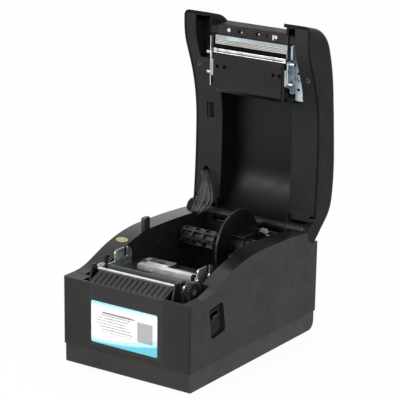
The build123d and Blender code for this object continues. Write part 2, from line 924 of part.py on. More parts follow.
# One rib of the ramp, copied across it
ramp_slope = ramp_rise / ramp_depth
rib_rear = ramp_depth - rib_front
with BuildPart() as ramp_rib:
    with BuildSketch(Plane.YZ):
        with BuildLine():
            Polyline(
                side(rib_front, panel_top + ramp_slope * rib_front - rib_root),
                side(rib_front + rib_nose, panel_top + ramp_slope * rib_front + ramp_rib_height),
                side(rib_rear - rib_nose, panel_top + ramp_slope * rib_rear + ramp_rib_height - rib_root),
                side(rib_rear, panel_top + ramp_slope * rib_rear - rib_root),
                close=True,
            )
        make_face()
    extrude(amount=ramp_rib_width / 2, both=True)

rib_pitch = (panel_width - ramp_rib_width) / ramp_rib_count
with BuildPart() as front_panel:
    with BuildSketch(Plane.YZ):
        with BuildLine():
            Polyline(
                side(0, panel_bottom),
                side(0, panel_top),
                side(ramp_depth, panel_top + ramp_rise),
                side(ramp_depth, panel_top + ramp_rise - wall),
                side(panel_thickness, panel_top - wall),
                side(panel_thickness, panel_bottom),
                close=True,
            )
        make_face()
    extrude(amount=panel_width / 2, both=True)
    fillet(front_panel.edges().filter_by(Axis.X).group_by(Axis.Y)[0].sort_by(Axis.Z)[-1], panel_fillet)
    with Locations([((rib - (ramp_rib_count - 1) / 2) * rib_pitch, 0, 0) for rib in range(ramp_rib_count)]):
        add(ramp_rib.part)
    with BuildSketch(Plane.XZ.offset(-front_y)):
        with Locations((label_shift, stand + label_bottom + label_height / 2)):
            RectangleRounded(label_width + 2 * label_margin, label_height + 2 * label_margin, label_corner_radius)
    extrude(amount=-label_recess, mode=Mode.SUBTRACT)
front_panel.part.label = "front_panel"
export_step(front_panel.part, "parts/front_panel.step")


# Print mechanism

# Holder behind the ramp with a cheek at each end
holder_front = ramp_depth + seam
holder_rear = platen_depth - platen_radius - platen_gap
with BuildPart() as tear_bar_holder:
    with BuildSketch(Plane.YZ):
        with BuildLine():
            Polyline(
                side(holder_front, tear_bar_height - tear_bar_thickness),
                side(holder_front, bay_floor - holder_lip_drop),
                side(holder_front + wall, bay_floor - holder_lip_drop),
                side(holder_front + wall, bay_floor),
                side(holder_rear, bay_floor),
                side(holder_rear, tear_bar_height - tear_bar_thickness - holder_slope_drop),
                side(holder_front + tear_bar_depth, tear_bar_height - tear_bar_thickness),
                close=True,
            )
        make_face()
    extrude(amount=plate_x - plate_thickness - bed_gap, both=True)
    for turn in (-1, 1):
        with BuildSketch(Plane.YZ.offset(turn * plate_x)):
            with BuildLine():
                Polyline(
                    side(cheek_front_depth, bay_floor + cheek_foot_gap),
                    side(cheek_front_depth + cheek_lean, cheek_top - cheek_corner),
                    side(cheek_front_depth + cheek_lean + cheek_corner, cheek_top),
                    side(cheek_rear_depth - cheek_corner, cheek_top),
                    side(cheek_rear_depth, tear_bar_height - cheek_corner),
                    side(cheek_rear_depth, bay_floor + cheek_foot_gap),
                    close=True,
                )
            make_face()
        extrude(amount=-turn * cheek_thickness)
tear_bar_holder.part.label = "tear_bar_holder"
export_step(tear_bar_holder.part, "parts/tear_bar_holder.step")

tooth_count = int(2 * (plate_x - cheek_thickness) / tooth_pitch) - 1
with BuildPart() as tear_bar:
    with BuildSketch(Plane.XY.offset(stand + tear_bar_height - tear_bar_thickness)):
        with Locations(plan(0, tear_bar_front + tooth_depth + (tear_bar_depth - tooth_depth) / 2)):
            Rectangle(tooth_count * tooth_pitch, tear_bar_depth - tooth_depth)
        with Locations(
            [
                plan((tooth - (tooth_count - 1) / 2) * tooth_pitch, tear_bar_front + tooth_depth)
                for tooth in range(tooth_count)
            ]
        ):
            Polygon(
                (-tooth_pitch / 2, 0), (0, -tooth_depth), (tooth_pitch / 2, 0), align=None
            )
    extrude(amount=tear_bar_thickness)
tear_bar.part.label = "tear_bar"
export_step(tear_bar.part, "parts/tear_bar.step")

# Gear train between the motor and the platen, each gear meshing with the next
platen_pitch_radius = gear_module * platen_teeth / 2
idler_pitch_radius = gear_module * idler_teeth / 2
pinion_pitch_radius = gear_module * pinion_teeth / 2
mesh_far = hypot(motor_depth - platen_depth, motor_height - platen_height)
mesh_near = platen_pitch_radius + idler_pitch_radius
mesh_last = idler_pitch_radius + pinion_pitch_radius
line_to_motor = degrees(atan2(motor_height - platen_height, motor_depth - platen_depth))
mesh_bend = degrees(acos((mesh_far**2 + mesh_near**2 - mesh_last**2) / (2 * mesh_far * mesh_near)))
idler_bearing = line_to_motor - mesh_bend
idler_depth = platen_depth + mesh_near * cos(radians(idler_bearing))
idler_height = platen_height + mesh_near * sin(radians(idler_bearing))
pinion_bearing = degrees(atan2(motor_height - idler_height, motor_depth - idler_depth))


# Tooth shape, in modules: height above and below the pitch circle, and half widths
tooth_tip = 0.8
tooth_root = 1.05
tooth_tip_half = 0.42
tooth_pitch_half = pi / 4
tooth_root_half = 1.05


def gear_outline(depth, height, teeth, first_tooth):
    """Spur gear outline with straight flanks and one tooth centred on the angle first_tooth."""
    pitch_radius = gear_module * teeth / 2
    tip_radius = pitch_radius + tooth_tip * gear_module
    root_radius = pitch_radius - tooth_root * gear_module
    half_root = degrees(tooth_root_half * gear_module / root_radius)
    half_tip = degrees((tooth_tip_half * gear_module - gear_backlash / 2) / tip_radius)
    half_pitch = degrees((tooth_pitch_half * gear_module - gear_backlash / 2) / pitch_radius)
    points = []
    for tooth in range(teeth):
        middle = first_tooth + 360 * tooth / teeth
        points.append(on_circle(depth, height, root_radius, middle - half_root))
        points.append(on_circle(depth, height, pitch_radius, middle - half_pitch))
        points.append(on_circle(depth, height, tip_radius, middle - half_tip))
        points.append(on_circle(depth, height, tip_radius, middle + half_tip))
        points.append(on_circle(depth, height, pitch_radius, middle + half_pitch))
        points.append(on_circle(depth, height, root_radius, middle + half_root))
    return points


platen_first = idler_bearing
idler_first = idler_bearing + 180 + 180 / idler_teeth
idler_toward_pinion = (pinion_bearing - idler_first) / (360 / idler_teeth)
idler_offset = (idler_toward_pinion - round(idler_toward_pinion)) * (360 / idler_teeth)
pinion_first = pinion_bearing + 180 + 180 / pinion_teeth + idler_offset * idler_teeth / pinion_teeth

with BuildPart() as platen_gear:
    with BuildSketch(Plane.YZ.offset(gear_x - gear_width / 2)):
        with BuildLine():
            Polyline(*gear_outline(platen_depth, platen_height, platen_teeth, platen_first), close=True)
        make_face()
        with Locations(side(platen_depth, platen_height)):
            Circle(platen_shaft_diameter / 2, mode=Mode.SUBTRACT)
    extrude(amount=gear_width)
platen_gear.part.label = "platen_gear"
export_step(platen_gear.part, "parts/platen_gear.step")

with BuildPart() as idler_gear:
    with BuildSketch(Plane.YZ.offset(gear_x - gear_width / 2)):
        with BuildLine():
            Polyline(*gear_outline(idler_depth, idler_height, idler_teeth, idler_first), close=True)
        make_face()
        with Locations(side(idler_depth, idler_height)):
            Circle(motor_shaft_diameter / 2 + shaft_gap, mode=Mode.SUBTRACT)
    extrude(amount=gear_width)
idler_gear.part.label = "idler_gear"
export_step(idler_gear.part, "parts/idler_gear.step")

with BuildPart() as motor_pinion:
    with BuildSketch(Plane.YZ.offset(gear_x - gear_width / 2)):
        with BuildLine():
            Polyline(*gear_outline(motor_depth, motor_height, pinion_teeth, pinion_first), close=True)
        make_face()
        with Locations(side(motor_depth, motor_height)):
            Circle(motor_shaft_diameter / 2 + shaft_gap, mode=Mode.SUBTRACT)
    extrude(amount=gear_width)
motor_pinion.part.label = "motor_pinion"
export_step(motor_pinion.part, "parts/motor_pinion.step")

with BuildPart() as platen_shaft:
    with BuildSketch(Plane.YZ.offset(-plate_x - shaft_stub)):
        with Locations(side(platen_depth, platen_height)):
            Circle(platen_shaft_diameter / 2)
    extrude(amount=plate_x + shaft_stub + gear_x + gear_width / 2 + gear_end_gap)
platen_shaft.part.label = "platen_shaft"
export_step(platen_shaft.part, "parts/platen_shaft.step")

with BuildPart() as platen_roller:
    with BuildSketch(Plane.YZ):
        with Locations(side(platen_depth, platen_height)):
            Circle(platen_radius)
            Circle(platen_shaft_diameter / 2, mode=Mode.SUBTRACT)
    extrude(amount=platen_half_length, both=True)
    chamfer(platen_roller.edges().filter_by(GeomType.CIRCLE).sort_by(SortBy.LENGTH)[-2:], platen_chamfer)
platen_roller.part.label = "platen_roller"
export_step(platen_roller.part, "parts/platen_roller.step")

plate_inner = plate_x - plate_thickness
with BuildPart() as platen_bushes:
    for turn in (-1, 1):
        with BuildSketch(Plane.YZ.offset(turn * (plate_inner - bush_flange_thickness))):
            with Locations(side(platen_depth, platen_height)):
                Circle(bush_flange_radius)
                Circle(platen_shaft_diameter / 2 + shaft_gap, mode=Mode.SUBTRACT)
        extrude(amount=turn * bush_flange_thickness)
        with BuildSketch(Plane.YZ.offset(turn * plate_inner)):
            with Locations(side(platen_depth, platen_height)):
                Circle(bush_radius)
                Circle(platen_shaft_diameter / 2 + shaft_gap, mode=Mode.SUBTRACT)
        extrude(amount=turn * plate_thickness)
platen_bushes.part.label = "platen_bushes"
export_step(platen_bushes.part, "parts/platen_bushes.step")

# Clip that holds the left bush, pointing to the rear
with BuildPart() as bush_clip:
    with BuildSketch(Plane.YZ.offset(-plate_x - clip_gap)):
        with BuildLine():
            Polyline(
                side(clip_front, clip_height + clip_half),
                side(clip_rear, clip_height + clip_half),
                side(clip_rear + clip_beak, clip_height),
                side(clip_rear, clip_height - clip_half),
                side(clip_rear, clip_height - clip_half + clip_thickness),
                side(clip_rear + clip_beak / 2, clip_height),
                side(clip_rear, clip_height + clip_half - clip_thickness),
                side(clip_front, clip_height + clip_half - clip_thickness),
                close=True,
            )
        make_face()
        with Locations(side(clip_plate_depth, clip_plate_height)):
            Rectangle(*clip_plate)
        with Locations(side(platen_depth, platen_height)):
            Circle(platen_shaft_diameter / 2 + shaft_room, mode=Mode.SUBTRACT)
    extrude(amount=-clip_thickness)
bush_clip.part.label = "bush_clip"
export_step(bush_clip.part, "parts/bush_clip.step")

# Side plates: bores for the shafts, slots for the head's pins and a foot bent inwards
with BuildSketch(Plane.YZ) as plate_side:
    with BuildLine():
        Polyline(
            side(plate_front, plate_foot_height),
            side(plate_front, plate_front_top),
            side(plate_step_depth, plate_step_height),
            side(plate_tower_depth, plate_step_height),
            side(plate_tower_depth, plate_top),
            side(plate_rear, plate_top),
            side(plate_rear, plate_tail_height),
            side(plate_tail_depth, plate_tail_height),
            side(plate_tail_depth, plate_foot_height),
            close=True,
        )
    make_face()
    fillet(plate_side.vertices().group_by(Axis.Y)[-1].sort_by(Axis.X)[-1], plate_rear_radius)
    fillet(plate_side.vertices().group_by(Axis.Y)[-1].sort_by(Axis.X)[0], plate_front_radius)
    with Locations(side(platen_depth, platen_height)):
        Circle(bush_radius, mode=Mode.SUBTRACT)
    with Locations(side(latch_depth, latch_height)):
        Circle(latch_shaft_diameter / 2 + shaft_gap, mode=Mode.SUBTRACT)
    with Locations(side(lock_depth, lock_height)):
        Circle(lock_diameter / 2 + shaft_room, mode=Mode.SUBTRACT)
        Rectangle(
            lock_diameter + 2 * shaft_room, plate_top, align=(Align.CENTER, Align.MIN), mode=Mode.SUBTRACT
        )

plate_foot_depth = (plate_front + plate_tail_depth) / 2
plate_foot_reach = plate_tail_depth - plate_front
with BuildPart() as right_side_plate:
    with BuildSketch(Plane.YZ.offset(plate_inner)):
        add(plate_side.sketch_local)
        with Locations(side(idler_depth, idler_height)):
            Circle(motor_shaft_diameter / 2, mode=Mode.SUBTRACT)
        with Locations(side(motor_depth, motor_height)):
            Circle(motor_shaft_diameter, mode=Mode.SUBTRACT)
    extrude(amount=plate_thickness)
    with BuildSketch(Plane.XY.offset(stand + plate_foot_height)):
        with Locations(plan(plate_x - plate_foot_length / 2, plate_foot_depth)):
            Rectangle(plate_foot_length, plate_foot_reach)
    extrude(amount=plate_thickness)
right_side_plate.part.label = "right_side_plate"
export_step(right_side_plate.part, "parts/right_side_plate.step")

with BuildPart() as left_side_plate:
    with BuildSketch(Plane.YZ.offset(-plate_x)):
        add(plate_side.sketch_local)
        with Locations(side(plate_window_depth, plate_window_height)):
            RectangleRounded(*plate_window, plate_window_radius, mode=Mode.SUBTRACT)
    extrude(amount=plate_thickness)
    with BuildSketch(Plane.XY.offset(stand + plate_foot_height)):
        with Locations(plan(-plate_x + plate_foot_length / 2, plate_foot_depth)):
            Rectangle(plate_foot_length, plate_foot_reach)
    extrude(amount=plate_thickness)
left_side_plate.part.label = "left_side_plate"
export_step(left_side_plate.part, "parts/left_side_plate.step")

with BuildPart() as stepper_motor:
    with BuildSketch(Plane.YZ.offset(plate_inner)):
        with Locations(side(motor_depth, motor_height)):
            RectangleRounded(motor_size, motor_size, motor_corner_radius)
    extrude(amount=-motor_flange)
    with BuildSketch(Plane.YZ.offset(plate_inner - motor_flange)):
        with Locations(side(motor_depth, motor_height)):
            Circle(motor_size / 2)
    extrude(amount=motor_flange - motor_length)
    with BuildSketch(Plane.YZ.offset(plate_inner)):
        with Locations(side(motor_depth, motor_height)):
            Circle(motor_shaft_diameter / 2)
    extrude(amount=gear_x + gear_width / 2 - plate_inner)
stepper_motor.part.label = "stepper_motor"
export_step(stepper_motor.part, "parts/stepper_motor.step")

with BuildPart() as idler_stud:
    with BuildSketch(Plane.YZ.offset(plate_inner)):
        with Locations(side(idler_depth, idler_height)):
            Circle(motor_shaft_diameter / 2)
    extrude(amount=gear_x + gear_width / 2 + gear_end_gap - plate_inner)
    with BuildSketch(Plane.YZ.offset(plate_x)):
        with Locations(side(idler_depth, idler_height)):
            Circle(motor_shaft_diameter / 2 + stud_collar)
    extrude(amount=gear_x - gear_width / 2 - plate_x - gear_end_gap)
idler_stud.part.label = "idler_stud"
export_step(idler_stud.part, "parts/idler_stud.step")

# Latch: a shaft with a hook outside each side plate
hook_height = stud_height + lock_diameter / 2 + hook_gap
with BuildPart() as latch:
    with BuildSketch(Plane.YZ.offset(-hook_x)):
        with Locations(side(latch_depth, latch_height)):
            Circle(latch_shaft_diameter / 2)
    extrude(amount=2 * hook_x)
    for x in (-hook_x, hook_x):
        with BuildSketch(Plane.YZ.offset(x)):
            with BuildLine():
                Polyline(
                    side(latch_depth - 3.6, latch_height + 0.5),
                    side(latch_depth - 5.6, latch_height + 6.0),
                    side(latch_depth - 6.0, hook_height + 1.5),
                    side(latch_depth - 3.5, hook_height + 3.2),
                    side(latch_depth, hook_height + 2.4),
                    side(latch_depth + 1.2, hook_height),
                    side(latch_depth - 1.8, hook_height - 0.3),
                    side(latch_depth - 2.6, latch_height + 12.0),
                    side(latch_depth - 1.0, latch_height + 6.5),
                    side(latch_depth + 3.6, latch_height + 0.5),
                    close=True,
                )
            make_face()
            with Locations(side(latch_depth, latch_height)):
                Circle(latch_eye_radius)
        extrude(amount=hook_thickness / 2, both=True)
latch.part.label = "latch"
export_step(latch.part, "parts/latch.step")

with BuildPart() as paper_guide:
    with BuildSketch(Plane.YZ):
        with BuildLine():
            Polyline(
                side(guide_front, guide_height - guide_lip),
                side(guide_front + guide_lip, guide_height),
                side(guide_rear, guide_height),
                side(guide_rear, bed_bottom),
                side(guide_rear - guide_thickness, bed_bottom),
                side(guide_rear - guide_thickness, guide_height - guide_thickness),
                side(guide_front + guide_lip, guide_height - guide_thickness),
                side(guide_front + guide_thickness, guide_height - guide_lip),
                close=True,
            )
        make_face()
    extrude(amount=plate_inner, both=True)
paper_guide.part.label = "paper_guide"
export_step(paper_guide.part, "parts/paper_guide.step")

# Black bed between the guide and the bin, with a groove for the media sensor
with BuildPart() as media_bed:
    with BuildSketch(Plane.YZ):
        with BuildLine():
            Polyline(
                side(bed_front, guide_height),
                side(bed_slope_depth, guide_height),
                side(bed_rear, bed_bottom + bed_edge),
                side(bed_rear, bed_bottom),
                side(bed_front, bed_bottom),
                close=True,
            )
        make_face()
    extrude(amount=plate_inner - bed_gap, both=True)
    with BuildSketch(Plane.XY.offset(stand + groove_floor)):
        with Locations(plan((groove_left_x + groove_right_x) / 2, (sensor_front + sensor_rear) / 2)):
            Rectangle(groove_right_x - groove_left_x, sensor_rear - sensor_front + 2 * seam)
    extrude(amount=far, mode=Mode.SUBTRACT)
media_bed.part.label = "media_bed"
export_step(media_bed.part, "parts/media_bed.step")

with BuildPart() as sensor_rail:
    with BuildSketch(Plane.YZ.offset(rail_left_x)):
        with BuildLine():
            Polyline(
                side(rail_front, guide_height),
                side(rail_front, rail_height),
                side(rail_rear, rail_height),
                side(rail_rear, guide_height),
                side(rail_rear - rail_thickness, guide_height),
                side(rail_rear - rail_thickness, rail_height - rail_thickness),
                side(rail_front + rail_thickness, rail_height - rail_thickness),
                side(rail_front + rail_thickness, guide_height),
                close=True,
            )
        make_face()
    extrude(amount=rail_right_x - rail_left_x)
sensor_rail.part.label = "sensor_rail"
export_step(sensor_rail.part, "parts/sensor_rail.step")

with BuildPart() as media_sensor:
    with BuildSketch(Plane.XY.offset(stand + groove_floor + sensor_gap)):
        with Locations(plan(sensor_left_x + sensor_length / 2, (sensor_front + sensor_rear) / 2)):
            RectangleRounded(sensor_length, sensor_rear - sensor_front, sensor_corner_radius)
    extrude(amount=sensor_height - groove_floor - sensor_gap)
    with BuildSketch(Plane.XY.offset(stand + sensor_height)):
        sensor_window_x = sensor_left_x + sensor_length / 2 + sensor_window_shift
        with Locations(plan(sensor_window_x, (sensor_front + sensor_rear) / 2)):
            RectangleRounded(*sensor_window, sensor_window_radius)
    extrude(amount=-sensor_window_depth, mode=Mode.SUBTRACT)
media_sensor.part.label = "media_sensor"
export_step(media_sensor.part, "parts/media_sensor.step")

with BuildPart() as guide_post:
    with BuildSketch(Plane.XY.offset(stand + post_seat)) as post_plan:
        with Locations(plan(post_x, post_depth)):
            Rectangle(post_width, post_length)
        fillet(post_plan.vertices().group_by(Axis.X)[-1], post_corner_radius)
    extrude(amount=post_top - post_seat)
    fillet(guide_post.edges().filter_by(Axis.X).group_by(Axis.Z)[-1], post_top_radius)
    with BuildSketch(Plane.XY.offset(stand + post_seat)):
        with Locations(plan(post_x, post_depth)):
            Rectangle(post_foot_width, post_foot_depth)
    extrude(amount=-post_foot_length)
guide_post.part.label = "guide_post"
export_step(guide_post.part, "parts/guide_post.step")


# Roll spindle

with BuildPart() as spindle_shaft:
    with BuildSketch(Plane.YZ):
        with Locations(side(roll_depth, roll_height)):
            Circle(spindle_diameter / 2)
    extrude(amount=bin_half_width - spindle_end_gap, both=True)
    chamfer(spindle_shaft.edges().filter_by(GeomType.CIRCLE), spindle_chamfer)
spindle_shaft.part.label = "spindle_shaft"
export_step(spindle_shaft.part, "parts/spindle_shaft.step")

# Holders: open cradles on the bin walls
with BuildPart() as spindle_holders:
    for turn in (-1, 1):
        with BuildSketch(Plane.YZ.offset(turn * bin_half_width)) as cradle:
            with BuildLine():
                Polyline(
                    side(roll_depth - holder_width / 2, holder_bottom),
                    side(roll_depth - holder_width / 2, holder_top - holder_corner),
                    side(roll_depth - holder_width / 2 + holder_corner, holder_top),
                    side(roll_depth + holder_width / 2 - holder_corner, holder_top),
                    side(roll_depth + holder_width / 2, holder_top - holder_corner),
                    side(roll_depth + holder_width / 2, holder_bottom),
                    close=True,
                )
            make_face()
            with Locations(side(roll_depth, roll_height)):
                Circle(spindle_diameter / 2 + spindle_gap, mode=Mode.SUBTRACT)
                Rectangle(
                    spindle_diameter + 2 * spindle_gap, holder_width,
                    align=(Align.CENTER, Align.MIN), mode=Mode.SUBTRACT,
                )
        extrude(amount=-turn * holder_thickness)
spindle_holders.part.label = "spindle_holders"
export_step(spindle_holders.part, "parts/spindle_holders.step")

# Spool core: a tube with rings and lengthwise fins
ring_pitch = (core_right_x - core_left_x - core_end_length - core_ring_width) / (core_ring_count - 1)
with BuildPart() as spool_core:
    with BuildSketch(Plane.YZ.offset(core_left_x)):
        with Locations(side(roll_depth, roll_height)):
            Circle(core_tube_radius)
            with PolarLocations(0, core_fin_count):
                Rectangle(core_radius - core_fin_step, core_fin_thickness, align=(Align.MIN, Align.CENTER))
            Circle(spindle_diameter / 2 + spindle_gap, mode=Mode.SUBTRACT)
    extrude(amount=core_right_x - core_left_x)
    for ring in range(core_ring_count):
        with BuildSketch(Plane.YZ.offset(core_left_x + ring * ring_pitch)):
            with Locations(side(roll_depth, roll_height)):
                Circle(core_radius)
                Circle(spindle_diameter / 2 + spindle_gap, mode=Mode.SUBTRACT)
        extrude(amount=core_ring_width)
spool_core.part.label = "spool_core"
export_step(spool_core.part, "parts/spool_core.step")

# Flange: a disc with a hub that carries the lock button
flange_bore = core_radius + flange_bore_gap
with BuildPart() as flange_disc:
    with BuildSketch(Plane.YZ.offset(flange_x - flange_thickness / 2)):
        with Locations(side(roll_depth, roll_height)):
            Circle(flange_radius)
            Circle(flange_bore, mode=Mode.SUBTRACT)
    extrude(amount=flange_thickness)
    chamfer(flange_disc.edges().filter_by(GeomType.CIRCLE).sort_by(SortBy.LENGTH)[-2:], flange_chamfer)
    with BuildSketch(Plane.YZ.offset(flange_x + flange_thickness / 2)):
        with Locations(side(roll_depth, roll_height)):
            Circle(hub_radius)
            Rectangle(
                lock_block_width + 2 * lock_frame,
                lock_block_top - lock_frame,
                align=(Align.CENTER, Align.MIN),
            )
            Circle(flange_bore, mode=Mode.SUBTRACT)
    extrude(amount=hub_length)
    with BuildSketch(Plane.XY.offset(stand + roll_height + flange_bore)):
        with Locations(plan(flange_x + flange_thickness / 2 + hub_length / 2, roll_depth)):
            Rectangle(lock_block_length + 2 * lock_gap, lock_block_width + 2 * lock_gap)
    extrude(amount=far, mode=Mode.SUBTRACT)
    with BuildSketch(Plane.YZ.offset(flange_x + flange_thickness / 2 + hub_length)):
        for turn in (-1, 1):
            with Locations(side(roll_depth + turn * (hub_radius + wing_reach), roll_height)):
                Rectangle(wing_length, wing_height)
        with Locations(side(roll_depth, roll_height)):
            Circle(flange_bore, mode=Mode.SUBTRACT)
    extrude(amount=-wing_thickness)
flange_disc.part.label = "flange_disc"
export_step(flange_disc.part, "parts/flange_disc.step")

with BuildPart() as flange_lock:
    with BuildSketch(Plane.XY.offset(stand + roll_height + flange_bore + lock_block_travel + lock_gap)):
        with Locations(plan(flange_x + flange_thickness / 2 + hub_length / 2, roll_depth)):
            Rectangle(lock_block_length, lock_block_width)
    extrude(amount=lock_block_top - flange_bore - lock_block_travel - lock_gap)
    fillet(flange_lock.edges().group_by(Axis.Z)[-1], lock_fillet)
flange_lock.part.label = "flange_lock"
export_step(flange_lock.part, "parts/flange_lock.step")


# Electrics in the base

with BuildPart() as mainboard:
    with BuildSketch(Plane.XY.offset(stand + mainboard_height)):
        with Locations(plan(0, (mainboard_front + mainboard_rear) / 2)):
            Rectangle(2 * mainboard_half_width, mainboard_rear - mainboard_front)
        for depth in (standoff_front, standoff_rear):
            with Locations(plan(-standoff_x, depth), plan(standoff_x, depth)):
                Circle(screw_shank / 2 + foot_gap, mode=Mode.SUBTRACT)
    extrude(amount=mainboard_thickness)
    with BuildSketch(Plane.XY.offset(stand + mainboard_height + mainboard_thickness)):
        with Locations(plan(chip_x, chip_depth)):
            Rectangle(chip_size, chip_size)
        with Locations(plan(small_chip_x, chip_depth)):
            Rectangle(*small_chip_size)
    extrude(amount=chip_height)
mainboard.part.label = "mainboard"
export_step(mainboard.part, "parts/mainboard.step")

with BuildPart() as power_socket:
    with BuildSketch(Plane.XY.offset(socket_bottom)):
        with Locations(plan(power_socket_x, socket_face - power_socket_length / 2)):
            Rectangle(power_socket_width, power_socket_length)
    extrude(amount=socket_height)
    with BuildSketch(Plane.XZ.offset(-front_y - socket_face)):
        with Locations((power_socket_x, socket_bottom + socket_height / 2)):
            Circle(power_socket_bore / 2)
            Circle(power_socket_pin / 2, mode=Mode.SUBTRACT)
    extrude(amount=power_socket_bore_depth, mode=Mode.SUBTRACT)
power_socket.part.label = "power_socket"
export_step(power_socket.part, "parts/power_socket.step")

with BuildPart() as usb_socket:
    with BuildSketch(Plane.XY.offset(socket_bottom)):
        with Locations(plan(usb_socket_x, socket_face - usb_socket_length / 2)):
            Rectangle(usb_socket_width, usb_socket_length)
    extrude(amount=socket_height)
    with BuildSketch(Plane.XZ.offset(-front_y - socket_face)):
        with Locations((usb_socket_x, socket_bottom + socket_height / 2)):
            Rectangle(*usb_socket_mouth)
            Rectangle(*usb_socket_tongue, mode=Mode.SUBTRACT)
    extrude(amount=usb_socket_mouth_depth, mode=Mode.SUBTRACT)
usb_socket.part.label = "usb_socket"
export_step(usb_socket.part, "parts/usb_socket.step")

# Power switch: a frame in the side wall and a rocker that tilts in it
rocker_plane = switch_plane.offset(-scoop_sink)
rocker_well_width = switch_width - 2 * (switch_gap + switch_frame_wall)
rocker_well_length = switch_length - 2 * (switch_gap + switch_frame_wall)
with BuildPart() as switch_frame:
    with BuildSketch(rocker_plane):
        Rectangle(switch_width - 2 * switch_gap, switch_length - 2 * switch_gap)
        Rectangle(rocker_well_width, rocker_well_length, mode=Mode.SUBTRACT)
    extrude(amount=-switch_frame_depth)
    with BuildSketch(rocker_plane):
        Rectangle(switch_width + 2 * switch_brim, switch_length + 2 * switch_brim)
        Rectangle(rocker_well_width, rocker_well_length, mode=Mode.SUBTRACT)
    extrude(amount=switch_brim_thickness)
switch_frame.part.label = "switch_frame"
export_step(switch_frame.part, "parts/switch_frame.step")

rocker_reach = rocker_well_length / 2 - rocker_end_gap
rocker_side = Plane(
    origin=rocker_plane.origin - rocker_plane.z_dir * rocker_pivot,
    x_dir=rocker_plane.y_dir,
    z_dir=rocker_plane.x_dir,
)
rocker_axis = Axis(rocker_side.origin, rocker_plane.x_dir)
with BuildPart() as power_rocker:
    with BuildSketch(rocker_side):
        with BuildLine():
            Polyline(
                (-rocker_reach, rocker_pivot + rocker_tip),
                (0, rocker_pivot + rocker_dip),
                (rocker_reach, rocker_pivot + rocker_tip),
                (rocker_reach - rocker_taper, rocker_pivot - rocker_skirt),
                (rocker_foot[0], -rocker_foot[1]),
                (-rocker_foot[0], -rocker_foot[1]),
                (-rocker_reach + rocker_taper, rocker_pivot - rocker_skirt),
                close=True,
            )
        make_face()
    extrude(amount=rocker_well_width / 2 - rocker_side_gap, both=True)
power_rocker.part = power_rocker.part.rotate(rocker_axis, rocker_angle)
power_rocker.part.label = "power_rocker"
export_step(power_rocker.part, "parts/power_rocker.step")


# Hinge

with BuildPart() as hinge_pin:
    with BuildSketch(Plane.YZ):
        with Locations(side(hinge_depth, hinge_height)):
            Circle(hinge_pin_diameter / 2)
    extrude(amount=half_width - pin_inset, both=True)
hinge_pin.part.label = "hinge_pin"
export_step(hinge_pin.part, "parts/hinge_pin.step")

with BuildPart() as hinge_washers:
    for turn in (-1, 1):
        with BuildSketch(Plane.YZ.offset(turn * (knuckle_outer_x + washer_gap))):
            with Locations(side(hinge_depth, hinge_height)):
                Circle(barrel_radius + washer_rim)
                Circle(hinge_pin_diameter / 2 + shaft_gap, mode=Mode.SUBTRACT)
        extrude(amount=turn * washer_thickness)
hinge_washers.part.label = "hinge_washers"
export_step(hinge_washers.part, "parts/hinge_washers.step")


# Cover, modelled closed and then turned open about the hinge

ear_inner = half_width - ear_thickness
seat_height = board_height + board_thickness
liner_screw_seats = ((liner_screw_front, liner_screw_front_seat), (liner_screw_rear, liner_screw_rear_seat))
with BuildPart() as cover_void:
    extrude(cover_void_side.sketch, amount=half_width - wall, both=True)
    fillet(
        [
            edge
            for edge in cover_void.edges().group_by(Axis.X)[0] + cover_void.edges().group_by(Axis.X)[-1]
            if edge.center().Z > stand + void_fillet_from
        ],
        cover_fillet - wall,
    )
    # The front wall steps back behind the label exit
    with BuildSketch(Plane.XY.offset(stand + rim_height)):
        with Locations(plan(0, (notch_depth + wall) / 2)):
            Rectangle(2 * (notch_half_width + wall), notch_depth + wall)
    extrude(amount=far, mode=Mode.SUBTRACT)
    # Bosses for the liner's screws
    for depth, seat in liner_screw_seats:
        with BuildSketch(Plane.XY.offset(stand + seat + liner_boss_wall)):
            with Locations(plan(-liner_screw_x, depth), plan(liner_screw_x, depth)):
                Circle(boss_radius)
        extrude(amount=far, mode=Mode.SUBTRACT)
    # The liner lies in the open underside
    extrude(liner_seat.sketch, amount=half_width - wall, both=True)

